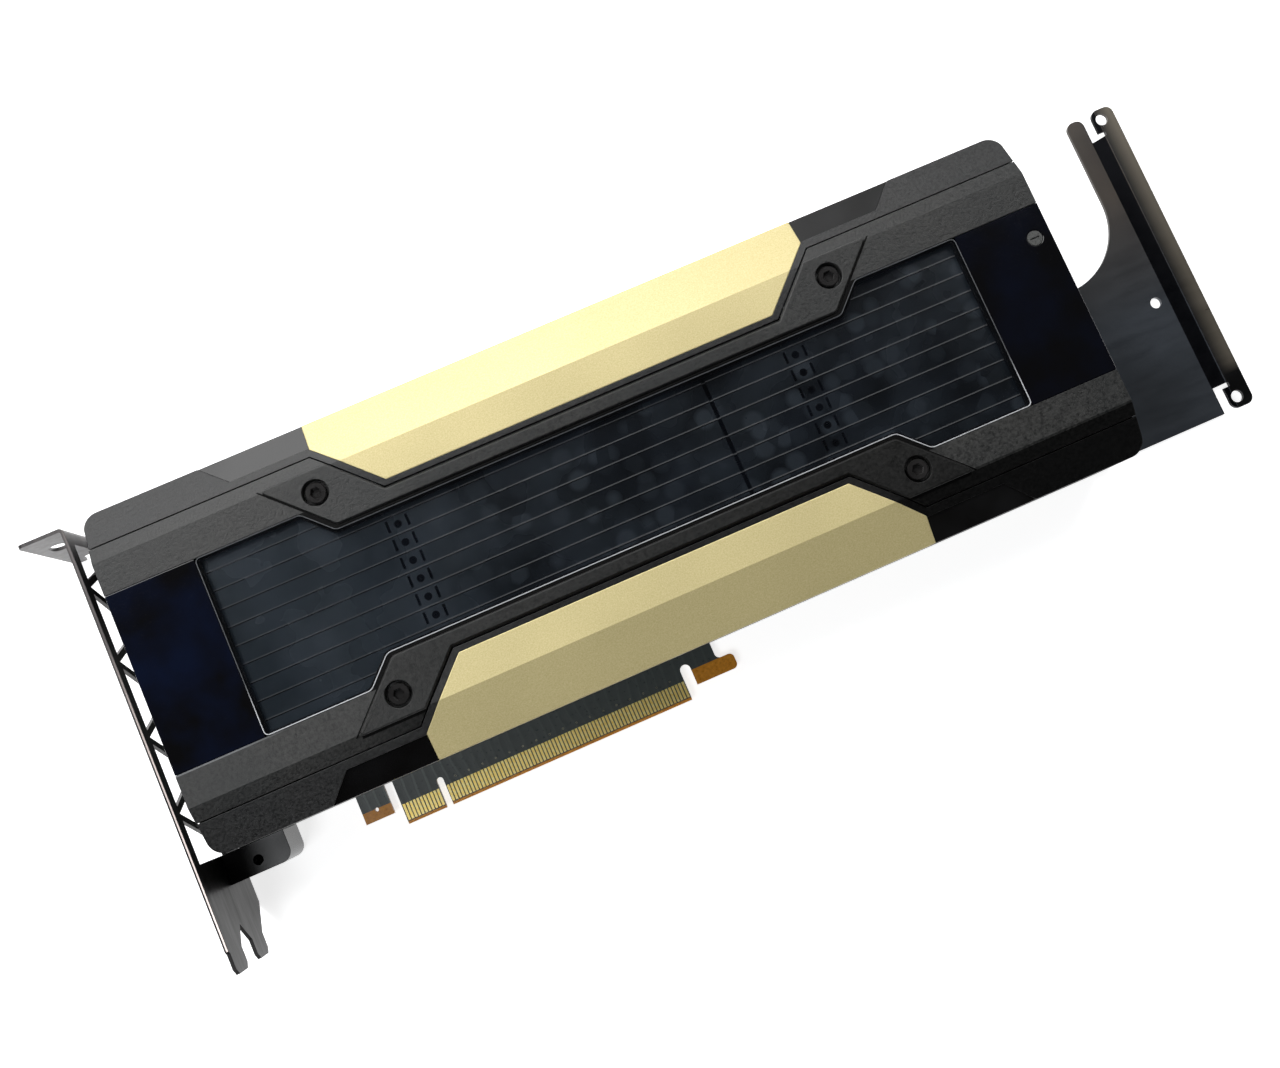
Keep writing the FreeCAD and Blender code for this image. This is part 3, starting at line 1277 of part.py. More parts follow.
def make_bracket_screws():
    z = dim.bracket_screw_z
    master = block("bracket_screw", "YZ", 0.0, [(0.0, z, dim.bracket_head)], dim.bracket_head_high)
    add(master, "shank", "YZ", 0.0, [(0.0, z, dim.back_shank)], dim.bracket_shank_long)
    half = dim.recess_radius
    cut(master, "drive", "YZ", -MARGIN, [rectangle(-half, half, z - half, z + half)],
        dim.recess_deep + MARGIN)
    copies("bracket_screws", master, [(0.0, y, 0.0) for y in bracket_screw_rows()])
    low = -dim.board_thick
    head = dim.lug_head_high
    under = block("lug_screw", "XY", low - head, [(0.0, 0.0, dim.bracket_head)], head)
    add(under, "shank", "XY", low, [(0.0, 0.0, dim.back_shank)], dim.lug_reach - low)
    cut(under, "drive", "XY", low - head - MARGIN, [hexagon(dim.recess_radius)], dim.recess_deep + MARGIN)
    copies("lug_screws", under, [(x, y, 0.0) for x, y in lug_screw_spots()])


# The extender: a joggled sheet with eared ends and the cable cut-out

def make_extender():
    thick = dim.extender_thick
    low = back_high - thick
    bend = extender_right - dim.joggle_end
    landing = bend + dim.joggle_run
    profile = [
        (extender_left, low),
        (bend + dim.joggle_lean, low),
        (landing + dim.joggle_lean, -thick),
        (extender_right, -thick),
        (extender_right, 0.0),
        (landing, 0.0),
        (bend, back_high),
        (extender_left, back_high),
    ]
    body = block("extender_blank", "XZ", extender_low, [profile], extender_high - extender_low)
    floor = low - MARGIN
    through = thick - back_high + 2 * MARGIN
    beyond = extender_high + MARGIN
    below = extender_low - MARGIN
    cut_left = board_right + dim.cutout_clear
    cut_right = extender_right - dim.cutout_end
    cut_low = extender_high - dim.cutout_deep
    corner = rectangle(extender_left - MARGIN, cut_left, mid_y + back_half, beyond)
    cut(body, "upper_corner", "XY", floor, [corner], through)
    cut(body, "cable_cutout", "XY", floor, [rectangle(cut_left, cut_right, cut_low, beyond)], through)
    round_corners(body, "cutout_round", dim.cutout_round, 2, [(cut_right, cut_low)])
    round_corners(body, "cutout_small", dim.cutout_small, 2, [(cut_left, cut_low)])
    slot_right = bend + dim.relief_wide
    foot_right = bend + dim.relief_foot
    reliefs = []
    ears = []
    for end, inward, outside in ((extender_high, -1, beyond), (extender_low, 1, below)):
        foot = end + dim.relief_reach * inward
        ear = foot - dim.relief_foot_high * inward
        reliefs.append([(bend, outside), (bend, foot), (foot_right, foot), (foot_right, ear),
                        (slot_right, ear), (slot_right, outside)])
        ears.append([(slot_right, ear), (foot_right, ear), (foot_right, end), (slot_right, end)])
    cut(body, "reliefs", "XY", floor, reliefs, through)
    cut(body, "ear_joggles", "XY", floor, ears, through)
    add(body, "flat_ears", "XY", -thick, ears, thick)
    ends = [
        (extender_right, extender_low),
        (extender_right, extender_high),
        (slot_right, extender_low),
        (slot_right, extender_high),
        (cut_right, extender_high),
        (bend, extender_high),
    ]
    round_corners(body, "ear_corners", dim.ear_round, 2, ends)
    ear_x = extender_right - dim.ear_hole_end
    holes = [
        (ear_x, extender_low + dim.ear_hole_in, dim.ear_hole),
        (ear_x, extender_high - dim.ear_hole_in, dim.ear_hole),
        (extender_right - dim.mid_hole_end, mid_y - dim.mid_hole_down, dim.mid_hole),
    ]
    cut(body, "holes", "XY", floor, holes, through)
    boolean("Cut", "extender_plate", body, countersinks("extender_countersinks", extender_screw_spots()))


def main():
    make_board()
    make_contacts()
    make_cover_frame()
    gold = make_gold()
    mirrored("gold_inlay_lower", gold, "y", mid_y)
    seats = make_accents()
    shell = make_shell_upper(gold, seats)
    make_shell_lower(shell)
    make_window()
    make_end_panels()
    brace = make_brace()
    mirrored("brace_lower", brace, "y", mid_y)
    make_brace_screws()
    make_panel_screw()
    make_base()
    make_fins()
    make_posts()
    make_processor()
    make_power_parts()
    make_inlet()
    make_pins()
    make_back_plate()
    make_back_parts()
    make_bracket()
    make_lugs()
    make_bracket_screws()
    make_extender()


NODES = [
    "board", "edge_contacts", "processor_package", "processor_die", "memory_stacks", "thermal_paste",
    "power_chokes", "power_stages", "thermal_pads", "capacitors", "power_inlet", "inlet_pins",
    "heat_sink_base", "cooling_fins", "cover_posts",
    "cover_frame", "side_shell_upper", "side_shell_lower", "gold_inlay_upper", "gold_inlay_lower",
    "side_inlays", "window_panel", "end_panel_left", "end_panel_right", "panel_screw",
    "brace_upper", "brace_lower", "brace_screws",
    "back_plate", "insulating_sheet", "board_spacers", "back_screws",
    "io_bracket", "bracket_lugs", "bracket_screws", "lug_screws",
    "extender_plate", "extender_standoffs", "extender_screws",
]


def check_and_write():
    document.recompute()
    for item in document.Objects:
        if "Invalid" in item.State or "Error" in item.State:
            raise RuntimeError(item.Label + " failed: " + str(item.State))
    by_label = {item.Label: item for item in document.Objects}
    for node in NODES:
        shape = by_label[node].Shape
        if shape.isNull() or not shape.isValid() or shape.Volume < TINY:
            raise RuntimeError(node + " has no valid shape")
    os.makedirs("parts", exist_ok=True)
    for node in NODES:
        shape = by_label[node].Shape
        shape.exportStep("parts/%s.step" % node)
        print("%-20s %2d solids %10.1f mm3" % (node, len(shape.Solids), shape.Volume))


main()
check_and_write()
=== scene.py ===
import math

import bmesh
import bpy
from mathutils import Matrix, Vector


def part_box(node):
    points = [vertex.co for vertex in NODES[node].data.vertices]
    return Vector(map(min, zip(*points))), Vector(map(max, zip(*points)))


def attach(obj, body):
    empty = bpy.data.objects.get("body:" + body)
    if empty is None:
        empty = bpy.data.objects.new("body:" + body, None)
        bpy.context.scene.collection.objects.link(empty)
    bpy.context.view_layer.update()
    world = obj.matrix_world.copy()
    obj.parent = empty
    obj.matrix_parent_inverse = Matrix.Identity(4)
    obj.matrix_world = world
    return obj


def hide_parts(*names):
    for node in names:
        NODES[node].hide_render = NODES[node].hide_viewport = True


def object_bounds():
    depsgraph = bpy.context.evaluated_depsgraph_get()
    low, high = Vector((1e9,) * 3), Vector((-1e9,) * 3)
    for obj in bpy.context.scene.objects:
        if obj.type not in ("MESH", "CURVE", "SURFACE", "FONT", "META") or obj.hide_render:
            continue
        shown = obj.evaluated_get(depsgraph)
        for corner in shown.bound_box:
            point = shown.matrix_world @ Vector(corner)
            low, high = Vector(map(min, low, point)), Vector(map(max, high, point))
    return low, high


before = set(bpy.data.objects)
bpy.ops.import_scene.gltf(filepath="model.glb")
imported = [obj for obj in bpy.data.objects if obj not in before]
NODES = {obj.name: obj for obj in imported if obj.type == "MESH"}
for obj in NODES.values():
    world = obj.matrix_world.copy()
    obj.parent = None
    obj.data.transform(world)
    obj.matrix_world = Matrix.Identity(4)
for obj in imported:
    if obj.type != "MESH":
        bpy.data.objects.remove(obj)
CAD_BOX = [list(corner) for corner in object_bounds()]

MM = 0.001
BODY = "root"
WHITE = (1.0, 1.0, 1.0, 1.0)

# The cover's middle and its flat top
FRAME_LOW, FRAME_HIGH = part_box("cover_frame")
ROOF_TOP = FRAME_HIGH.z
MIDDLE_X = (FRAME_LOW.x + FRAME_HIGH.x) / 2
MIDDLE_Y = (FRAME_LOW.y + FRAME_HIGH.y) / 2

# Half widths of the cover's pieces from its middle line, and runs of their slanted ends.
# A slanted end is where the distance along the cover, less the distance across it, equals the run.
PANEL_HALF = 24.4 * MM
PANEL_SINK = 0.4 * MM
WINDOW_WAIST = 17.18 * MM
WINDOW_RUN = 53.6 * MM
BRACE_INNER = 18.2 * MM
BRACE_OUTER = 33.8 * MM
BRACE_RUN = 51.6 * MM
BRACE_TIP = 84.3 * MM
GOLD_RUN = 56 * MM

# Where the cover's painted shade, painted highlight and gloss change, as two places along the card
RIM_FADE = (22 * MM, 34 * MM)
SHELL_FADE = (60 * MM, 105 * MM)
BRACE_FADE = (60 * MM, 210 * MM)
GLOSS_FADE = (60 * MM, 200 * MM)
TAIL_FADE = (175 * MM, 200 * MM)

# Widths of the painted shadow lines and of the painted highlight on the rim, the fade of the painted shade
# beside the gold, and the run where the painted shade on the lower slope fades
TIP_LINE = 0.6 * MM
FOOT_LINE = 0.7 * MM
RIM_LINE = 0.4 * MM
GOLD_FADE = 10 * MM
SLOPE_RUN = 22 * MM

# How deep the painted shade gets on the duller parts of the paint, as a share
FRAME_DARK = 0.8
SHELL_DARK = 0.65
SHELL_MIDDLE_DARK = 0.3
BRACE_DARK = (0.25, 0.65)
BRACE_MIDDLE_DARK = 0.18
TAIL_DARK = 0.85

# The fins: their pitch, the painted highlight and the dark line of each fold as parts of it, and where
# their looks change along the card
FIN_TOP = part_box("cooling_fins")[1].z
FIN_PITCH = 5.07 * MM
FOLD_HIGHLIGHT = (0.045, 0.075)
DARK_FOLD = (0.935, 0.955)
FOLD_FADE = (60 * MM, 110 * MM)
FRONT_FADE = (62 * MM, 110 * MM)
MARK_FADE = (75 * MM, 120 * MM)

# The bracket: its thickness, the bright line on its sawn edge, bare metal with a painted highlight, and
# where its dark foot ends
BRACKET_THICK = 0.86 * MM
BARE_FROM = 0.40 * MM
BARE_SOFT = 0.06 * MM
BARE_UNDER_TOP = (0.06 * MM, 0.02 * MM)
BARE_HIGHLIGHT_FADE = (35 * MM, 70 * MM)
FOOT_FADE = (20 * MM, 60 * MM)

# The extender: where its painted light turns brown at its upper end, its ear strip, the bend beside it with
# its painted shade, and the lower ear
BROWN_FADE = (MIDDLE_Y - 10 * MM, MIDDLE_Y + 25 * MM)
EAR_STRIP = 5.2 * MM
STRIP_SOFT = 0.1 * MM
STRIP_FADE = 4 * MM
BEND_WIDE = 3.4 * MM
BEND_SOFT = 0.2 * MM
LOW_EAR = 10 * MM
EAR_FADE = 3 * MM

# The board: the limits of its bare guide tab, foot and tips, and where its traces grow faint
GUIDE_END = (45.0 * MM, 45.01 * MM)
GUIDE_HIGH = (7.35 * MM, 7.4 * MM)
FOOT_START = (134.0 * MM, 134.1 * MM)
FOOT_HIGH = (7.55 * MM, 7.65 * MM)
TIP_HIGH = (0.75 * MM, 0.8 * MM)
TRACE_FADE = (58 * MM, 70 * MM)

# The lugs: where the painted shade on their ends beside the bracket stops
LUG_FADE = (8 * MM, 15 * MM)

# The window's polished edge: where the painted highlight along its lower side ends
EDGE_FADE = (MIDDLE_Y - 18 * MM, MIDDLE_Y - 10 * MM)


# Finishes

class Nodes:
    """A shader node tree that is built with a few short calls."""

    def __init__(self, tree):
        self.tree = tree

    def add(self, kind, **values):
        node = self.tree.nodes.new(kind)
        for key, value in values.items():
            setattr(node, key, value)
        return node

    def link(self, source, target):
        self.tree.links.new(source, target)

    def math(self, operation, *values):
        node = self.add("ShaderNodeMath", operation=operation)
        for number, value in enumerate(values):
            if isinstance(value, (int, float)):
                node.inputs[number].default_value = value
            else:
                self.link(value, node.inputs[number])
        return node.outputs[0]

    def below(self, value, limit):
        return self.math("LESS_THAN", value, limit)

    def above(self, value, limit):
        return self.math("GREATER_THAN", value, limit)

    def away(self, value, middle):
        """How far the value is from the middle, to either side."""
        return self.math("ABSOLUTE", self.math("SUBTRACT", value, middle))

    def both(self, *masks):
        """One mask, full only where all of the given masks are."""
        share = masks[0]
        for mask in masks[1:]:
            share = self.math("MULTIPLY", share, mask)
        return share

    def either(self, *masks):
        """One mask, as full as the fullest of the given masks."""
        share = masks[0]
        for mask in masks[1:]:
            share = self.math("MAXIMUM", share, mask)
        return share

    def range(self, value, low, high, to_low=0.0, to_high=1.0):
        """The value between low and high, stretched to the two new levels and held there outside."""
        node = self.add("ShaderNodeMapRange", clamp=True)
        self.link(value, node.inputs["Value"])
        sockets = ("From Min", "From Max", "To Min", "To Max")
        for socket, number in zip(sockets, (low, high, to_low, to_high)):
            node.inputs[socket].default_value = number
        return node.outputs[0]

    def fade(self, value, low, high):
        """Full below low and gone above high."""
        return self.range(value, low, high, 1.0, 0.0)


class Finish(Nodes):
    """A material whose patterns lie in the object's own coordinates."""

    def __init__(self, name, color, roughness, metallic=0.0):
        self.material = bpy.data.materials.new(name)
        self.material.use_nodes = True
        super().__init__(self.material.node_tree)
        self.shader = self.tree.nodes["Principled BSDF"]
        self.set("Base Color", (*color, 1.0))
        self.set("Roughness", roughness)
        self.set("Metallic", metallic)
        self.place = self.add("ShaderNodeTexCoord").outputs["Object"]

    def set(self, socket, value):
        self.shader.inputs[socket].default_value = value

    def axis(self, letter):
        """The point's own X, Y or Z."""
        split = self.add("ShaderNodeSeparateXYZ")
        self.link(self.place, split.inputs[0])
        return split.outputs[letter]

    def pattern(self, kind, scale, **values):
        """A texture on the object's coordinates, with a scale for each axis."""
        mapping = self.add("ShaderNodeMapping")
        mapping.inputs["Scale"].default_value = scale
        self.link(self.place, mapping.inputs["Vector"])
        node = self.add(kind, **values)
        node.inputs["Scale"].default_value = 1.0
        self.link(mapping.outputs[0], node.inputs["Vector"])
        return node

    def noise(self, size, detail=3.0, roughness=0.5, stretch=(1.0, 1.0, 1.0)):
        """Noise whose spots are about size metres across."""
        node = self.pattern("ShaderNodeTexNoise", [value / size for value in stretch])
        node.inputs["Detail"].default_value = detail
        node.inputs["Roughness"].default_value = roughness
        return node.outputs["Fac"]

    def spots(self, size):
        """Round marks about size metres across, each with a strength of its own."""
        node = self.pattern("ShaderNodeTexVoronoi", [1.0 / size] * 3, feature="F1")
        chance = self.add("ShaderNodeSeparateColor")
        self.link(node.outputs["Color"], chance.inputs[0])
        return self.both(self.fade(node.outputs["Distance"], 0.34, 0.54),
                         self.range(chance.outputs[0], 0.2, 1.0))

    def mix(self, share, first, second):
        """Mixes two colours by the share; either may be a socket."""
        node = self.add("ShaderNodeMix", data_type="RGBA")
        self.link(share, node.inputs["Factor"])
        for name, value in (("A", first), ("B", second)):
            socket = [item for item in node.inputs if item.name == name and item.type == "RGBA"][0]
            if isinstance(value, tuple):
                socket.default_value = (*value, 1.0)
            else:
                self.link(value, socket)
        return [item for item in node.outputs if item.type == "RGBA"][0]

    def tones(self, pattern, first, second, low=0.3, high=0.7):
        """Two tones: the first where the pattern is under low, the second where it is over high."""
        return self.mix(self.range(pattern, low, high), first, second)

    def color(self, value):
        self.link(value, self.shader.inputs["Base Color"])

    def roughness(self, value):
        self.link(value, self.shader.inputs["Roughness"])

    def specular(self, value):
        self.link(value, self.shader.inputs["Specular IOR Level"])

    def bump(self, height, depth, strength):
        node = self.add("ShaderNodeBump")
        node.inputs["Strength"].default_value = strength
        node.inputs["Distance"].default_value = depth
        self.link(height, node.inputs["Height"])
        self.link(node.outputs[0], self.shader.inputs["Normal"])


def shade(red, green, blue):
    """A colour as seen on a screen, from 0 to 255, in linear values."""
    values = []
    for level in (red, green, blue):
        level = level / 255
        values.append(level / 12.92 if level <= 0.04045 else ((level + 0.055) / 1.055) ** 2.4)
    return tuple(values)


def scaled(tone, factor):
    return tuple(value * factor for value in tone)


def textured_black(name, tone, grain=0.8 * MM, painted_shade=None, painted_highlight=None):
    """The finely pitted paint of the cover and the back, a little lighter on the tops of its grain; painted
    shade and a painted highlight can be laid on given parts.
    """
    finish = Finish(name, tone, 0.40)
    grains = finish.noise(grain, 4.0, 0.65)
    clouds = finish.noise(22 * MM, 2.0)
    speckled = finish.tones(grains, scaled(tone, 0.4), scaled(tone, 2.4), 0.35, 0.65)
    cool = (tone[0] * 0.8, tone[1], tone[2] * 1.15)
    painted = finish.mix(finish.range(clouds, 0.35, 0.75, 0.0, 0.45), speckled, cool)
    if painted_shade:
        # Painted shade: the given parts are darkened towards near black, and their gloss is lowered as
        # well.
        shade_share = painted_shade(finish)
        painted = finish.mix(shade_share, painted, shade(7, 7, 7))
        finish.specular(finish.range(shade_share, 0.0, 1.0, 0.5, 0.08))
    if painted_highlight:
        # Painted highlight: the given parts are lightened to a pale grey.
        painted = finish.mix(painted_highlight(finish), painted, shade(100, 102, 104))
    finish.color(painted)
    finish.roughness(finish.range(grains, 0.3, 0.7, 0.30, 0.54))
    finish.bump(grains, 0.12 * MM, 0.9)
    return finish.material


def frame_painted_shade(finish):
    """Painted shade on the frame: round the window and on its sunk parts, as shadow lines beside the
    braces, beside the gold, and on the lower slope near the tail.
    """
    x = finish.axis("X")
    y = finish.axis("Y")
    along = finish.away(x, MIDDLE_X)
    across = finish.away(y, MIDDLE_Y)
    slant = finish.math("SUBTRACT", along, across)
    lower = finish.below(y, MIDDLE_Y)
    strip = finish.below(across, BRACE_INNER)
    under_panels = finish.below(across, PANEL_HALF)
    past_brace = finish.above(slant, BRACE_RUN)
    outside_brace = finish.above(across, BRACE_OUTER)
    bend = finish.both(past_brace, finish.below(slant, WINDOW_RUN), under_panels)
    sunk = finish.both(under_panels, finish.below(finish.axis("Z"), ROOF_TOP - PANEL_SINK))
    tip_line = finish.both(past_brace, finish.below(slant, BRACE_RUN + TIP_LINE),
                           finish.below(across, BRACE_OUTER))
    foot_line = finish.both(lower, outside_brace, finish.below(across, BRACE_OUTER + FOOT_LINE),
                            finish.below(along, BRACE_TIP))
    beside_gold = finish.either(finish.below(along, GOLD_RUN),
                                finish.both(lower, finish.fade(slant, SLOPE_RUN, BRACE_RUN)))
    lower_slope = finish.both(lower, outside_brace, finish.range(x, *TAIL_FADE, 0.0, TAIL_DARK))
    return finish.either(strip, bend, sunk, tip_line, foot_line,
                         finish.math("MULTIPLY", beside_gold, FRAME_DARK), lower_slope)


def rim_highlight(finish):
    """A painted highlight on the rim of the frame along the lower side of the panel beside the bracket,
    where the edge catches the light.
    """
    across = finish.math("SUBTRACT", MIDDLE_Y, finish.axis("Y"))
    return finish.both(finish.above(across, PANEL_HALF), finish.below(across, PANEL_HALF + RIM_LINE),
                       finish.fade(finish.axis("X"), *RIM_FADE),
                       finish.above(finish.axis("Z"), ROOF_TOP - PANEL_SINK))


def shell_painted_shade(finish):
    """Painted shade on the side shells, where their gloss is lowered too: beside the gold and, on the lower
    side, towards the tail.
    """
    x = finish.axis("X")
    lower = finish.below(finish.axis("Y"), MIDDLE_Y)
    tailward = finish.either(finish.range(x, *SHELL_FADE, 0.0, SHELL_DARK),
                             finish.range(x, *TAIL_FADE, 0.0, TAIL_DARK))
    beside_gold = finish.range(finish.away(x, MIDDLE_X), GOLD_RUN, GOLD_RUN + GOLD_FADE,
                               SHELL_MIDDLE_DARK, 0.0)
    return finish.either(finish.both(lower, tailward), beside_gold)


def brace_painted_shade(finish):
    """Painted shade on the braces, where their gloss is lowered too: in the middle, and on the lower one
    also towards the tail.
    """
    x = finish.axis("X")
    lower = finish.below(finish.axis("Y"), MIDDLE_Y)
    tailward = finish.range(x, *BRACE_FADE, *BRACE_DARK)
    middle = finish.range(finish.away(x, MIDDLE_X), GOLD_RUN - GOLD_FADE, GOLD_RUN,
                          BRACE_MIDDLE_DARK, 0.0)
    return finish.either(finish.both(lower, tailward), middle)


def satin_gold():
    finish = Finish("satin_gold", shade(226, 210, 148), 0.42, 0.3)
    grains = finish.noise(0.35 * MM, 3.0, 0.6)
    clouds = finish.noise(30 * MM, 2.0)
    finish.color(finish.tones(grains, shade(204, 190, 132), shade(224, 210, 160)))
    finish.roughness(finish.range(clouds, 0.3, 0.7, 0.34, 0.44))
    finish.bump(grains, 0.04 * MM, 0.4)
    return finish.material


def gloss_black():
    """The end panels' polished black, with a faint blue haze that is weaker towards the tail."""
    finish = Finish("gloss_black", shade(10, 12, 20), 0.06)
    finish.set("Coat Weight", 0.6)
    finish.set("Coat Roughness", 0.03)
    haze = finish.noise(14 * MM, 3.0)
    dust = finish.noise(0.5 * MM, 2.0)
    blue = finish.both(finish.range(haze, 0.35, 0.7),
                       finish.range(finish.axis("X"), *GLOSS_FADE, 1.0, 0.4))
    finish.color(finish.mix(blue, shade(6, 6, 8), shade(8, 15, 34)))
    finish.roughness(finish.range(dust, 0.62, 0.8, 0.05, 0.16))
    return finish.material


def inlay_black():
    """The sunk side sheets: smooth black, glossy at the bracket's end and duller towards the tail."""
    finish = Finish("inlay_black", shade(13, 12, 12), 0.12)
    finish.set("Specular IOR Level", 0.42)
    clouds = finish.noise(9 * MM, 3.0)
    finish.color(finish.tones(clouds, shade(10, 9, 9), shade(17, 17, 18)))
    finish.roughness(finish.math("ADD", finish.range(finish.axis("X"), *GLOSS_FADE, 0.08, 0.30),
                                 finish.range(clouds, 0.3, 0.7, 0.0, 0.05)))
    return finish.material


def tinted_window():
    """Thin clear plastic, faintly smoky, through which the fins are seen."""
    finish = Finish("tinted_window", shade(14, 17, 24), 0.05)
    finish.set("Alpha", 0.20)
    finish.set("Coat Weight", 1.0)
    finish.set("Coat Roughness", 0.03)
    haze = finish.noise(12 * MM, 3.0)
    finish.color(finish.tones(haze, shade(10, 12, 16), shade(24, 29, 38), 0.35))
    finish.roughness(finish.range(haze, 0.3, 0.7, 0.04, 0.12))
    return finish.material


def plated_fins():
    """Dark plated fins with soft round marks; each fold has a painted highlight on one side and a dark line
    on the other.
    """
    finish = Finish("plated_fins", shade(34, 42, 50), 0.26, 0.3)
    x = finish.axis("X")
    offset = finish.math("SUBTRACT", finish.axis("Y"), MIDDLE_Y)
    place = finish.math("FRACT", finish.math("DIVIDE", offset, FIN_PITCH))
    fold_highlight = finish.both(finish.fade(place, *FOLD_HIGHLIGHT), finish.range(x, *FOLD_FADE, 0.45, 1.0))
    dark_fold = finish.range(place, *DARK_FOLD)
    clouds = finish.noise(24 * MM, 3.0)
    front = finish.tones(clouds, shade(46, 56, 64), shade(58, 67, 76), 0.35, 0.65)
    middle = finish.tones(clouds, shade(22, 27, 32), shade(40, 48, 55), 0.35, 0.65)
    sheet = finish.mix(finish.range(x, *FRONT_FADE), front, middle)
    marks = finish.both(finish.spots(6.0 * MM), finish.range(x, *MARK_FADE, 0.25, 1.0))
    marked = finish.mix(marks, sheet, shade(64, 72, 80))
    # Painted highlight along one side of each fold, where its rounded edge catches the light.
    edged = finish.mix(fold_highlight, marked, shade(126, 128, 130))
    finish.color(finish.mix(dark_fold, edged, shade(5, 5, 6)))
    finish.roughness(finish.range(clouds, 0.3, 0.7, 0.20, 0.34))
    return finish.material


def bracket_steel():
    """Satin black plate, darker at its foot; its sawn upper edge is bare metal, with a painted highlight on
    it that fades out towards the bracket's upper end.
    """
    finish = Finish("bracket_steel", shade(58, 56, 57), 0.30, 0.65)
    x = finish.axis("X")
    y = finish.axis("Y")
    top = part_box("io_bracket")[1].z
    near_top = [top - under for under in BARE_UNDER_TOP]
    # The bare edge, lit as a painted highlight that fades out towards the bracket's upper end.
    bare = finish.both(finish.range(finish.axis("Z"), *near_top),
                       finish.range(x, BARE_FROM, BARE_FROM + BARE_SOFT),
                       finish.fade(x, BRACKET_THICK - BARE_SOFT, BRACKET_THICK),
                       finish.range(y, *BARE_HIGHLIGHT_FADE, 1.0, 0.06))
    streaks = finish.noise(2.0 * MM, 4.0, 0.6, (1.0, 0.12, 1.0))
    upper = finish.tones(streaks, shade(50, 49, 50), shade(74, 71, 71))
    plate = finish.mix(finish.fade(y, *FOOT_FADE), upper, shade(17, 16, 16))
    finish.color(finish.mix(bare, plate, shade(226, 212, 206)))
    finish.roughness(finish.range(streaks, 0.3, 0.7, 0.28, 0.42))
    return finish.material


def extender_steel():
    """Brushed dark plate with painted light, brown at its upper end and bluish lower down; the bend along
    the ear strip is painted nearly black as shade.
    """
    finish = Finish("extender_steel", shade(64, 63, 61), 0.32, 0.6)
    x = finish.axis("X")
    y = finish.axis("Y")
    low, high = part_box("extender_plate")
    strip = high.x - EAR_STRIP
    low_ear = low.y + LOW_EAR
    streaks = finish.noise(3.0 * MM, 4.0, 0.6, (0.15, 1.0, 1.0))
    clouds = finish.noise(25 * MM, 2.0)
    upper = finish.tones(clouds, shade(55, 51, 48), shade(76, 70, 64))
    lower = finish.tones(clouds, shade(52, 56, 61), shade(70, 75, 82))
    # Painted light: warm at the upper end, cool and bluish lower down.
    plate = finish.mix(finish.range(y, *BROWN_FADE), lower, upper)
    outward = finish.range(x, strip, strip + STRIP_FADE)
    ear = finish.mix(finish.range(y, low_ear, low_ear + EAR_FADE), shade(10, 10, 11),
                     finish.mix(outward, shade(26, 26, 27), shade(100, 94, 84)))
    plate = finish.mix(finish.range(x, strip, strip + STRIP_SOFT), plate, ear)
    # Painted shade on the bend along the ear strip, which lies in shadow.
    bend = finish.both(finish.range(x, strip - BEND_WIDE, strip - BEND_WIDE + BEND_SOFT),
                       finish.fade(x, strip - BEND_SOFT, strip))
    finish.color(finish.mix(bend, plate, shade(5, 6, 10)))
    finish.specular(finish.range(bend, 0.0, 1.0, 0.5, 0.15))
    finish.roughness(finish.range(streaks, 0.25, 0.75, 0.26, 0.42))
    finish.bump(streaks, 0.02 * MM, 0.3)
    return finish.material


def board_mask():
    """Dark solder mask with faint traces; bright bare laminate on the feet, darker on the cut edges."""
    finish = Finish("board_mask", shade(44, 52, 52), 0.30)
    x = finish.axis("X")
    y = finish.axis("Y")
    traces = finish.add("ShaderNodeTexWave", wave_type="BANDS", bands_direction="X")
    waves = (("Scale", 0.11 / MM), ("Distortion", 5.0), ("Detail", 1.0), ("Detail Scale", 0.6))
    for socket, value in waves:
        traces.inputs[socket].default_value = value
    finish.link(finish.place, traces.inputs["Vector"])
    lines = finish.both(finish.range(traces.outputs["Fac"], 0.86, 0.94),
                        finish.range(x, *TRACE_FADE, 0.55, 0.12))
    mask = finish.mix(lines, shade(72, 80, 79), shade(112, 122, 118))
    weave = finish.noise(0.9 * MM, 2.0)
    bare = finish.tones(weave, shade(220, 138, 28), shade(250, 170, 44))
    cut_edge = finish.tones(weave, shade(128, 94, 44), shade(158, 120, 62))
    facing = finish.add("ShaderNodeSeparateXYZ")
    finish.link(finish.add("ShaderNodeNewGeometry").outputs["Normal"], facing.inputs[0])
    side = finish.fade(finish.math("ABSOLUTE", facing.outputs["Z"]), 0.2, 0.98)
    guide = finish.both(finish.fade(x, *GUIDE_END), finish.fade(y, *GUIDE_HIGH))
    foot = finish.both(finish.range(x, *FOOT_START), finish.fade(y, *FOOT_HIGH))
    tip = finish.fade(y, *TIP_HIGH)
    finish.color(finish.mix(finish.either(guide, foot, tip), finish.mix(side, mask, cut_edge), bare))
    finish.roughness(finish.range(weave, 0.3, 0.7, 0.26, 0.42))
    finish.bump(traces.outputs["Fac"], 0.03 * MM, 0.3)
    return finish.material


def contact_gold():
    finish = Finish("contact_gold", shade(244, 222, 142), 0.38, 0.7)
    wear = finish.noise(0.8 * MM, 3.0)
    finish.color(finish.tones(wear, shade(255, 222, 118), shade(255, 240, 170), 0.35))
    finish.roughness(finish.range(wear, 0.3, 0.7, 0.32, 0.46))
    return finish.material


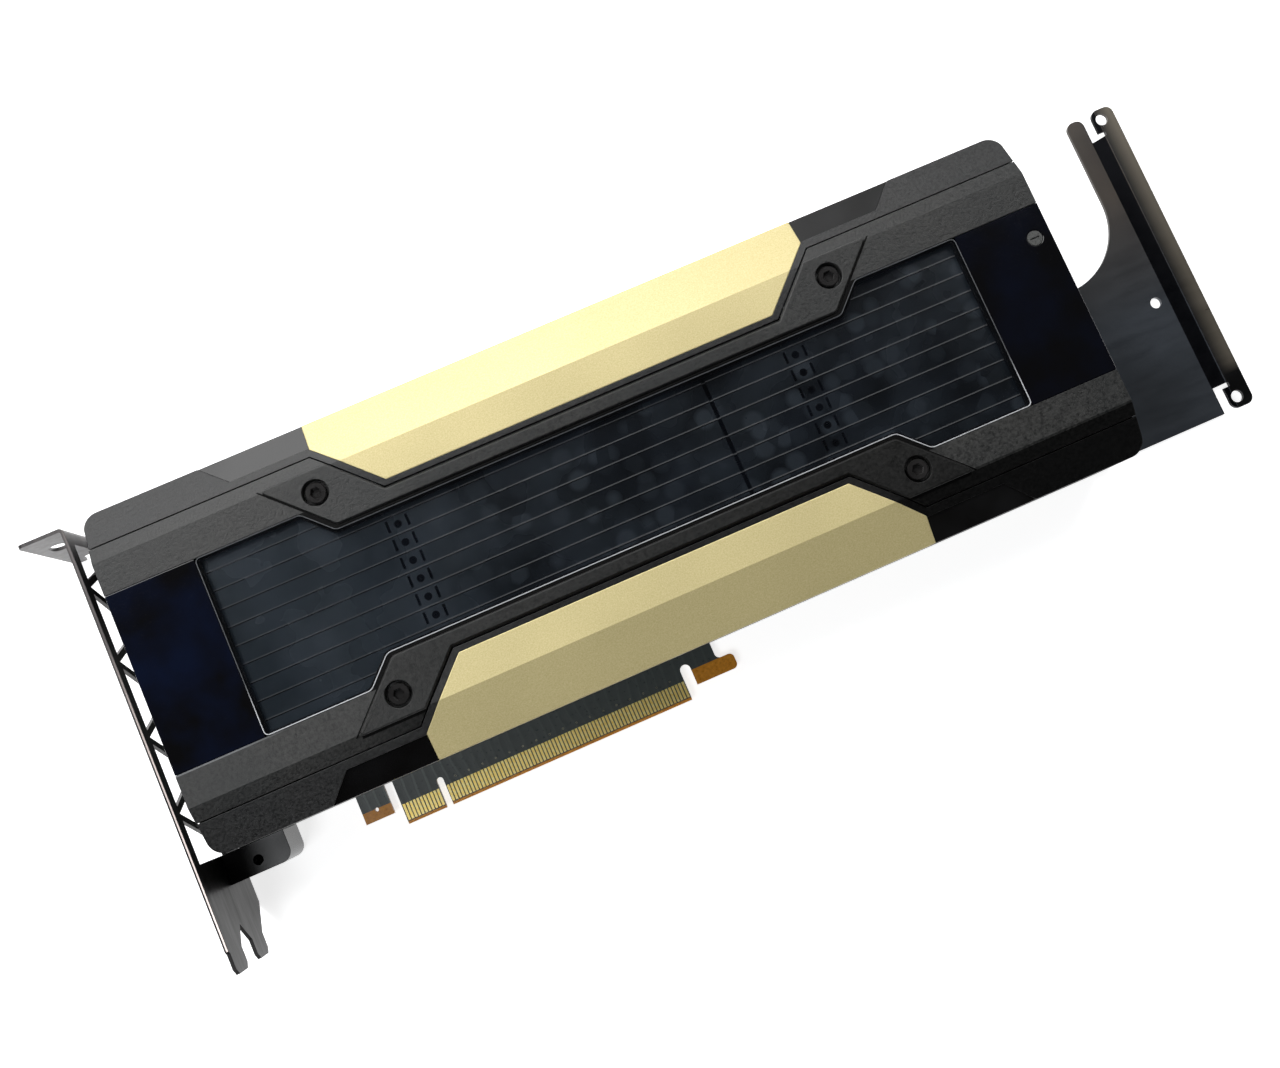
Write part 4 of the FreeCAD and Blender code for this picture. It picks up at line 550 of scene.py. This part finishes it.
def smooth_lug():
    """Smooth black plastic, with painted shade beside the bracket, which shadows it there: darker and less
    glossy.
    """
    finish = Finish("smooth_lug", shade(24, 26, 28), 0.22)
    outer = finish.range(finish.axis("X"), *LUG_FADE)
    # Painted shade beside the bracket, towards near black.
    finish.color(finish.mix(outer, shade(9, 9, 9), shade(30, 32, 34)))
    finish.specular(finish.range(outer, 0.0, 1.0, 0.06, 0.5))
    return finish.material


def polished_edge():
    """The window's polished edge, with a painted highlight along its lower side, where light shines through
    the plastic.
    """
    finish = Finish("polished_edge", shade(168, 170, 173), 0.26, 0.35)
    lower = finish.fade(finish.axis("Y"), *EDGE_FADE)
    # Painted highlight along the lower side; the other sides are a darker grey.
    finish.color(finish.mix(lower, shade(96, 98, 101), shade(226, 228, 232)))
    return finish.material


def plain_metal(name, tone, roughness=0.3):
    finish = Finish(name, tone, roughness, 0.9)
    turning = finish.noise(0.6 * MM, 3.0)
    finish.color(finish.tones(turning, scaled(tone, 0.8), tone))
    finish.roughness(finish.range(turning, 0.3, 0.7, roughness * 0.8, roughness * 1.3))
    return finish.material


def plain_plastic(name, tone, roughness, grain=0.8 * MM):
    finish = Finish(name, tone, roughness)
    grains = finish.noise(grain, 3.0)
    finish.color(finish.tones(grains, scaled(tone, 0.75), scaled(tone, 1.25)))
    finish.roughness(finish.range(grains, 0.3, 0.7, roughness * 0.85, roughness * 1.15))
    finish.bump(grains, 0.02 * MM, 0.3)
    return finish.material


SHELL = textured_black("cover_black", shade(25, 25, 25), painted_shade=shell_painted_shade)
BRACE = textured_black("brace_black", shade(24, 24, 23), painted_shade=brace_painted_shade)
GOLD = satin_gold()
GLOSS = gloss_black()
SCREW = plain_plastic("black_screw", shade(34, 33, 33), 0.16, 4 * MM)
SPACER = plain_metal("nickel_spacer", shade(186, 180, 164))
FINISHES = {
    "board": board_mask(),
    "edge_contacts": contact_gold(),
    "processor_package": plain_plastic("package_laminate", shade(44, 66, 50), 0.5),
    "processor_die": plain_plastic("dark_silicon", shade(62, 62, 68), 0.15),
    "memory_stacks": plain_plastic("stack_silicon", shade(54, 54, 58), 0.2),
    "thermal_paste": plain_plastic("grey_paste", shade(158, 160, 162), 0.6),
    "power_chokes": plain_plastic("choke_body", shade(58, 58, 62), 0.55),
    "power_stages": plain_plastic("stage_body", shade(30, 30, 33), 0.4),
    "thermal_pads": plain_plastic("soft_pad", shade(140, 146, 158), 0.8),
    "capacitors": plain_plastic("polymer_block", shade(120, 98, 62), 0.45),
    "power_inlet": plain_plastic("inlet_black", shade(26, 26, 28), 0.42),
    "inlet_pins": plain_metal("tinned_pin", shade(205, 200, 186)),
    "heat_sink_base": plain_metal("dark_base", shade(92, 93, 96), 0.4),
    "cooling_fins": plated_fins(),
    "cover_posts": plain_metal("turned_post", shade(150, 150, 154)),
    "cover_frame": textured_black("frame_black", shade(28, 28, 27), painted_shade=frame_painted_shade,
                                  painted_highlight=rim_highlight),
    "side_shell_upper": SHELL,
    "side_shell_lower": SHELL,
    "gold_inlay_upper": GOLD,
    "gold_inlay_lower": GOLD,
    "side_inlays": inlay_black(),
    "end_panel_left": GLOSS,
    "end_panel_right": GLOSS,
    "window_panel": tinted_window(),
    "brace_upper": BRACE,
    "brace_lower": BRACE,
    "brace_screws": SCREW,
    "panel_screw": plain_plastic("grey_screw", shade(70, 71, 70), 0.28, 0.5 * MM),
    "back_plate": textured_black("back_black", shade(36, 36, 37), 0.4 * MM),
    "insulating_sheet": plain_plastic("black_film", shade(24, 24, 26), 0.3),
    "board_spacers": SPACER,
    "back_screws": SCREW,
    "io_bracket": bracket_steel(),
    "bracket_lugs": smooth_lug(),
    "bracket_screws": SCREW,
    "lug_screws": SCREW,
    "extender_plate": extender_steel(),
    "extender_standoffs": SPACER,
    "extender_screws": SCREW,
}

for name, node in NODES.items():
    node.data.materials.clear()
    node.data.materials.append(FINISHES[name])


def new_object(name, data):
    made = bpy.data.objects.new(name, data)
    bpy.context.scene.collection.objects.link(made)
    return made


def settle(piece):
    """Turns what the modifiers make into the piece's own plain mesh."""
    bpy.context.view_layer.update()
    graph = bpy.context.evaluated_depsgraph_get()
    made = bpy.data.meshes.new_from_object(piece.evaluated_get(graph))
    piece.modifiers.clear()
    piece.data = made


def finish_piece(piece, material):
    piece.data.materials.clear()
    piece.data.materials.append(material)
    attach(piece, BODY)


# Softened edges: a copy of the solid with its sharp edges rounded stands for it

SHARP_ANGLE = math.radians(28)
FLAT_ANGLE = math.radians(0.6)
SAME_PLACE = 0.002 * MM
EDGE_WIDTHS = {
    "gold_inlay_upper": 0.22 * MM,
    "gold_inlay_lower": 0.22 * MM,
    "brace_upper": 0.16 * MM,
    "brace_lower": 0.16 * MM,
    "cover_frame": 0.18 * MM,
    "side_shell_upper": 0.18 * MM,
    "side_shell_lower": 0.18 * MM,
    "extender_plate": 0.12 * MM,
    "end_panel_left": 0.15 * MM,
    "end_panel_right": 0.15 * MM,
    "side_inlays": 0.10 * MM,
    "bracket_lugs": 0.35 * MM,
}


def soften(name, width):
    mesh = NODES[name].data.copy()
    mesh.name = name + "_softened"
    shell = bmesh.new()
    shell.from_mesh(mesh)
    bmesh.ops.remove_doubles(shell, verts=shell.verts, dist=SAME_PLACE)
    bmesh.ops.dissolve_limit(shell, angle_limit=FLAT_ANGLE, verts=shell.verts, edges=shell.edges)
    shell.to_mesh(mesh)
    shell.free()
    piece = new_object(name + "_softened", mesh)
    bevel = piece.modifiers.new("edges", "BEVEL")
    bevel.width = width
    bevel.segments = 2
    bevel.limit_method = "ANGLE"
    bevel.angle_limit = SHARP_ANGLE
    bevel.harden_normals = False
    bevel.use_clamp_overlap = True
    settle(piece)
    for face in piece.data.polygons:
        face.use_smooth = False
    finish_piece(piece, FINISHES[name])
    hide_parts(name)


for name, width in EDGE_WIDTHS.items():
    soften(name, width)


# Small pieces, made with geometry nodes

class Recipe:
    """A geometry node tree with named inputs, whose result becomes one plain mesh."""

    def __init__(self, name, inputs):
        self.name = name
        self.tree = bpy.data.node_groups.new(name, "GeometryNodeTree")
        self.tree.interface.new_socket("Geometry", in_out="INPUT", socket_type="NodeSocketGeometry")
        self.keys = {}
        self.values = {}
        for label, (kind, value) in inputs.items():
            socket = self.tree.interface.new_socket(label, in_out="INPUT",
                                                    socket_type="NodeSocket" + kind)
            socket.default_value = value
            self.keys[label] = socket.identifier
            self.values[label] = value
        self.tree.interface.new_socket("Geometry", in_out="OUTPUT", socket_type="NodeSocketGeometry")
        self.given = self.tree.nodes.new("NodeGroupInput")
        self.result = self.tree.nodes.new("NodeGroupOutput")

    def add(self, kind, links, **values):
        """Adds a node and returns its first output; each link is a socket or a plain value."""
        node = self.tree.nodes.new(kind)
        for key, value in values.items():
            setattr(node, key, value)
        for key, value in links.items():
            if isinstance(value, bpy.types.NodeSocket):
                self.tree.links.new(value, node.inputs[key])
            else:
                node.inputs[key].default_value = value
        return node.outputs[0]

    def take(self, label):
        return self.given.outputs[label]

    def circle(self, resolution, radius):
        return self.add("GeometryNodeCurvePrimitiveCircle", {"Resolution": resolution, "Radius": radius})

    def sweep(self, curve, profile):
        return self.add("GeometryNodeCurveToMesh", {"Curve": curve, "Profile Curve": profile})

    def close(self, geometry, material):
        real = self.add("GeometryNodeRealizeInstances", {"Geometry": geometry})
        flat = self.add("GeometryNodeSetShadeSmooth", {"Geometry": real, "Shade Smooth": False})
        painted = self.add("GeometryNodeSetMaterial", {"Geometry": flat, "Material": material})
        self.tree.links.new(painted, self.result.inputs["Geometry"])

    def make(self, name, material, slot, line=None, **values):
        """Makes one piece by the recipe, from a line mesh where one is given."""
        piece = new_object(name, line or bpy.data.meshes.new(name))
        modifier = piece.modifiers.new(self.name, "NODES")
        modifier.node_group = self.tree
        for label, value in {**self.values, **values}.items():
            modifier[self.keys[label]] = value
        settle(piece)
        finish_piece(piece, material)


def rows_recipe(name, material, shape):
    """Copies of one small shape in rows: count of them along step, and rows of those along row_step."""
    recipe = Recipe(name, {
        "count": ("Int", 2),
        "first": ("Vector", (0.0, 0.0, 0.0)),
        "step": ("Vector", (MM, 0.0, 0.0)),
        "rows": ("Int", 1),
        "row_step": ("Vector", (0.0, MM, 0.0)),
        "size": ("Vector", (MM, MM, MM)),
    })
    line = recipe.add("GeometryNodeMeshLine", {
        "Count": recipe.take("count"),
        "Start Location": recipe.take("first"),
        "Offset": recipe.take("step"),
    })
    rows = recipe.add("GeometryNodeMeshLine", {
        "Count": recipe.take("rows"),
        "Offset": recipe.take("row_step"),
    })
    spread = recipe.add("GeometryNodeInstanceOnPoints", {"Points": rows, "Instance": line})
    spots = recipe.add("GeometryNodeRealizeInstances", {"Geometry": spread})
    set_down = recipe.add("GeometryNodeInstanceOnPoints", {
        "Points": spots, "Instance": shape(recipe), "Scale": recipe.take("size")})
    recipe.close(set_down, material)
    return recipe


def chip(recipe):
    """A small block with its two bright ends standing a little proud."""
    middle = recipe.add("GeometryNodeMeshCube", {"Size": (0.62, 0.86, 0.92)})
    join = recipe.tree.nodes.new("GeometryNodeJoinGeometry")
    recipe.tree.links.new(middle, join.inputs[0])
    for side in (-1, 1):
        end = recipe.add("GeometryNodeMeshCube", {"Size": (0.2, 1.0, 1.0)})
        place = (0.4 * side, 0.0, 0.0)
        moved = recipe.add("GeometryNodeTransform", {"Geometry": end, "Translation": place})
        recipe.tree.links.new(moved, join.inputs[0])
    return join.outputs[0]


def eyelet(recipe):
    """A plated hole: a rounded ring."""
    return recipe.sweep(recipe.circle(14, 0.36), recipe.circle(6, 0.14))


# The window's edge: the radii of its corners and bends, and the bead's place and radius
WINDOW_CORNER = 1.2 * MM
WINDOW_BEND = 2.5 * MM
EDGE_INSET = 0.16 * MM
EDGE_PROUD = 0.08 * MM
EDGE_BEAD = 0.14 * MM
BEND_STEPS = 6


def make_window_edge():
    """The polished edge of the window: a thin bead all the way round."""
    low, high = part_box("window_panel")
    left = low.x + EDGE_INSET
    right = high.x - EDGE_INSET
    wide = (high.y - low.y) / 2 - EDGE_INSET
    narrow = WINDOW_WAIST - EDGE_INSET
    outer = WINDOW_RUN + wide
    inner = WINDOW_RUN + narrow
    side = [
        (left, wide, WINDOW_CORNER),
        (MIDDLE_X - outer, wide, WINDOW_BEND),
        (MIDDLE_X - inner, narrow, WINDOW_BEND),
        (MIDDLE_X + inner, narrow, WINDOW_BEND),
        (MIDDLE_X + outer, wide, WINDOW_BEND),
        (right, wide, WINDOW_CORNER),
    ]
    outline = [(x, -y, bend) for x, y, bend in side] + [(x, y, bend) for x, y, bend in reversed(side)]
    mesh = bpy.data.meshes.new("window_edge_line")
    mesh.from_pydata([(x, MIDDLE_Y + y, high.z + EDGE_PROUD) for x, y, bend in outline],
                     [(number, (number + 1) % len(outline)) for number in range(len(outline))], [])
    bends = mesh.attributes.new("bend", "FLOAT", "POINT")
    for number, (x, y, bend) in enumerate(outline):
        bends.data[number].value = bend
    recipe = Recipe("edge_bead", {"bead": ("Float", EDGE_BEAD)})
    curve = recipe.add("GeometryNodeMeshToCurve", {"Mesh": recipe.take("Geometry")})
    radius = recipe.add("GeometryNodeInputNamedAttribute", {"Name": "bend"}, data_type="FLOAT")
    rounded = recipe.add("GeometryNodeFilletCurve", {
        "Curve": curve, "Radius": radius, "Count": BEND_STEPS}, mode="POLY")
    material = polished_edge()
    recipe.close(recipe.sweep(rounded, recipe.circle(6, recipe.take("bead"))), material)
    recipe.make("window_edge", material, "window_tint", line=mesh)


# The plated rings: two rows of them across the fins
STUD_ROWS_APART = 112.0 * MM
STUDS_IN_ROW = 12
STUD_SIZE = (2.1 * MM, 2.1 * MM, 1.5 * MM)


def make_interlock_studs():
    stud_metal = plain_metal("stud_metal", shade(34, 36, 40), 0.14)
    studs = rows_recipe("stud_rows", stud_metal, eyelet)
    first_y = MIDDLE_Y - (STUDS_IN_ROW - 1) / 2 * FIN_PITCH
    studs.make("interlock_studs", stud_metal, "fin_metal", size=STUD_SIZE,
               first=(MIDDLE_X - STUD_ROWS_APART / 2, first_y, FIN_TOP),
               count=STUDS_IN_ROW, step=(0.0, FIN_PITCH, 0.0),
               rows=2, row_step=(STUD_ROWS_APART, 0.0, 0.0))


# Small parts on the board: their sizes, and the middle of the first one of each kind
CHIP_HIGH = 0.9 * MM
CHIP_SIZE = (2.1 * MM, 1.3 * MM, CHIP_HIGH)
TAIL_CHIP = (250.2 * MM, 20.0 * MM, CHIP_HIGH / 2)
FRONT_CHIP = (20.0 * MM, 32.0 * MM, CHIP_HIGH / 2)
EYELET_SIZE = (0.62 * MM, 0.62 * MM, 0.3 * MM)
FIRST_EYELET = (63.4 * MM, 7.0 * MM, 0.0)


def make_board_parts():
    chip_body = plain_plastic("chip_body", shade(96, 82, 66), 0.4)
    chips = rows_recipe("chip_rows", chip_body, chip)
    chips.make("tail_chips", chip_body, "moulded_dark", size=CHIP_SIZE, first=TAIL_CHIP,
               count=9, step=(0.0, 4.2 * MM, 0.0), rows=4, row_step=(4.1 * MM, 0.0, 0.0))
    chips.make("front_chips", chip_body, "moulded_dark", size=CHIP_SIZE, first=FRONT_CHIP,
               count=12, step=(0.0, 4.6 * MM, 0.0), rows=2, row_step=(4.4 * MM, 0.0, 0.0))
    eyelet_metal = plain_metal("eyelet_metal", shade(170, 168, 150))
    eyelets = rows_recipe("eyelet_rows", eyelet_metal, eyelet)
    eyelets.make("finger_eyelets", eyelet_metal, "gold_contact", size=EYELET_SIZE, first=FIRST_EYELET,
                 count=17, step=(4.0 * MM, 0.0, 0.0))


make_window_edge()
make_interlock_studs()
make_board_parts()


# Stage: pale floor and backdrop, soft lamps, the camera

# The floor: half its side in metres, its glow, and the glow added from the near to the far distance
FLOOR_HALF = 4.0
FLOOR_GLOW = 0.78
FAR_GLOW = 0.22
FAR_FADE = (0.6, 2.0)

# The light of the room: from the horizon to overhead, and from the near side to the far side
ROOM_HEIGHTS = (0.25, 0.9)
ROOM_HORIZON = 0.75
ROOM_ZENITH = 0.05
ROOM_SIDES = (-0.35, 0.45)
ROOM_NEAR = 0.07

LAMP_AIM = Vector((MIDDLE_X, MIDDLE_Y, 20 * MM))

# The camera as it was solved from the photograph, whose pixels give the focal length
PHOTO_WIDTH_PIXELS = 1280
FOCAL_PIXELS = 1384.7
SENSOR_WIDTH = 36.0
CAMERA_PLACE = Vector((113.70, 9.29, 384.31)) * MM
PICTURE_RIGHT = Vector((0.9169, -0.3990, 0.0137))
PICTURE_DOWN = Vector((-0.3949, -0.9115, -0.1148))
PICTURE_AHEAD = Vector((0.0583, 0.0998, -0.9933))


def make_floor():
    """A white sheet whose glow only the camera, gloss and clear parts see, the camera more far away."""
    low = CAD_BOX[0][2]
    corners = [(x * FLOOR_HALF, y * FLOOR_HALF, low) for x, y in ((-1, -1), (1, -1), (1, 1), (-1, 1))]
    mesh = bpy.data.meshes.new("floor")
    mesh.from_pydata(corners, [], [(0, 1, 2, 3)])
    floor = new_object("floor", mesh)
    white = Finish("white_floor", (0.88, 0.88, 0.88), 0.9)
    white.set("Specular IOR Level", 0.1)
    distance = white.add("ShaderNodeVectorMath", operation="LENGTH")
    white.link(white.place, distance.inputs[0])
    more = white.range(distance.outputs["Value"], *FAR_FADE, 0.0, FAR_GLOW)
    ray = white.add("ShaderNodeLightPath").outputs
    glow = white.add("ShaderNodeEmission")
    glow.inputs["Color"].default_value = WHITE
    strength = white.math("MULTIPLY_ADD", more, ray["Is Camera Ray"], FLOOR_GLOW)
    white.link(strength, glow.inputs["Strength"])
    glowing = white.add("ShaderNodeAddShader")
    white.link(white.shader.outputs[0], glowing.inputs[0])
    white.link(glow.outputs[0], glowing.inputs[1])
    seen = white.either(ray["Is Camera Ray"], ray["Is Glossy Ray"], ray["Is Transmission Ray"])
    chosen = white.add("ShaderNodeMixShader")
    white.link(seen, chosen.inputs[0])
    white.link(white.shader.outputs[0], chosen.inputs[1])
    white.link(glowing.outputs[0], chosen.inputs[2])
    white.link(chosen.outputs[0], white.tree.nodes["Material Output"].inputs["Surface"])
    mesh.materials.append(white.material)


def make_world():
    """White behind the object; its light is dim overhead and comes mostly from the far side, low down."""
    world = bpy.data.worlds.new("studio")
    bpy.context.scene.world = world
    world.use_nodes = True
    room = Nodes(world.node_tree)
    light = room.tree.nodes["Background"]
    light.inputs["Color"].default_value = WHITE
    split = room.add("ShaderNodeSeparateXYZ")
    room.link(room.add("ShaderNodeTexCoord").outputs["Generated"], split.inputs[0])
    height = room.range(split.outputs["Z"], *ROOM_HEIGHTS, ROOM_HORIZON, ROOM_ZENITH)
    side = room.range(split.outputs["Y"], *ROOM_SIDES, ROOM_NEAR, 1.0)
    room.link(room.both(height, side), light.inputs["Strength"])
    backdrop = room.add("ShaderNodeBackground")
    backdrop.inputs["Color"].default_value = WHITE
    backdrop.inputs["Strength"].default_value = 1.0
    chosen = room.add("ShaderNodeMixShader")
    room.link(room.add("ShaderNodeLightPath").outputs["Is Camera Ray"], chosen.inputs[0])
    room.link(light.outputs[0], chosen.inputs[1])
    room.link(backdrop.outputs[0], chosen.inputs[2])
    room.link(chosen.outputs[0], room.tree.nodes["World Output"].inputs["Surface"])


def make_lamp(name, place, size, power, tint=(1.0, 1.0, 1.0)):
    """A soft lamp that faces the card; its place is in metres."""
    data = bpy.data.lights.new(name, "AREA")
    data.shape = "RECTANGLE"
    data.size, data.size_y = size
    data.energy = power
    data.color = tint
    lamp = new_object(name, data)
    lamp.location = place
    lamp.rotation_euler = (LAMP_AIM - Vector(place)).to_track_quat("-Z", "Y").to_euler()


def make_camera():
    data = bpy.data.cameras.new("camera")
    data.sensor_fit = "HORIZONTAL"
    data.sensor_width = SENSOR_WIDTH
    data.lens = FOCAL_PIXELS * SENSOR_WIDTH / PHOTO_WIDTH_PIXELS
    data.clip_start = 0.01
    camera = new_object("camera", data)
    turn = Matrix((PICTURE_RIGHT, -PICTURE_DOWN, -PICTURE_AHEAD)).transposed().to_4x4()
    camera.matrix_world = Matrix.Translation(CAMERA_PLACE) @ turn
    bpy.context.scene.camera = camera


make_floor()
make_world()
make_lamp("soft_key", place=(-0.08, 0.58, 0.62), size=(0.95, 0.6), power=7.3)
make_lamp("soft_side", place=(0.60, 0.50, 0.80), size=(0.35, 0.35), power=1.8)
make_lamp("soft_fill", place=(-0.28, -0.22, 0.95), size=(0.35, 0.30), power=2.5, tint=(0.96, 0.98, 1.0))
make_camera()
bpy.context.scene.view_settings.view_transform = "Standard"
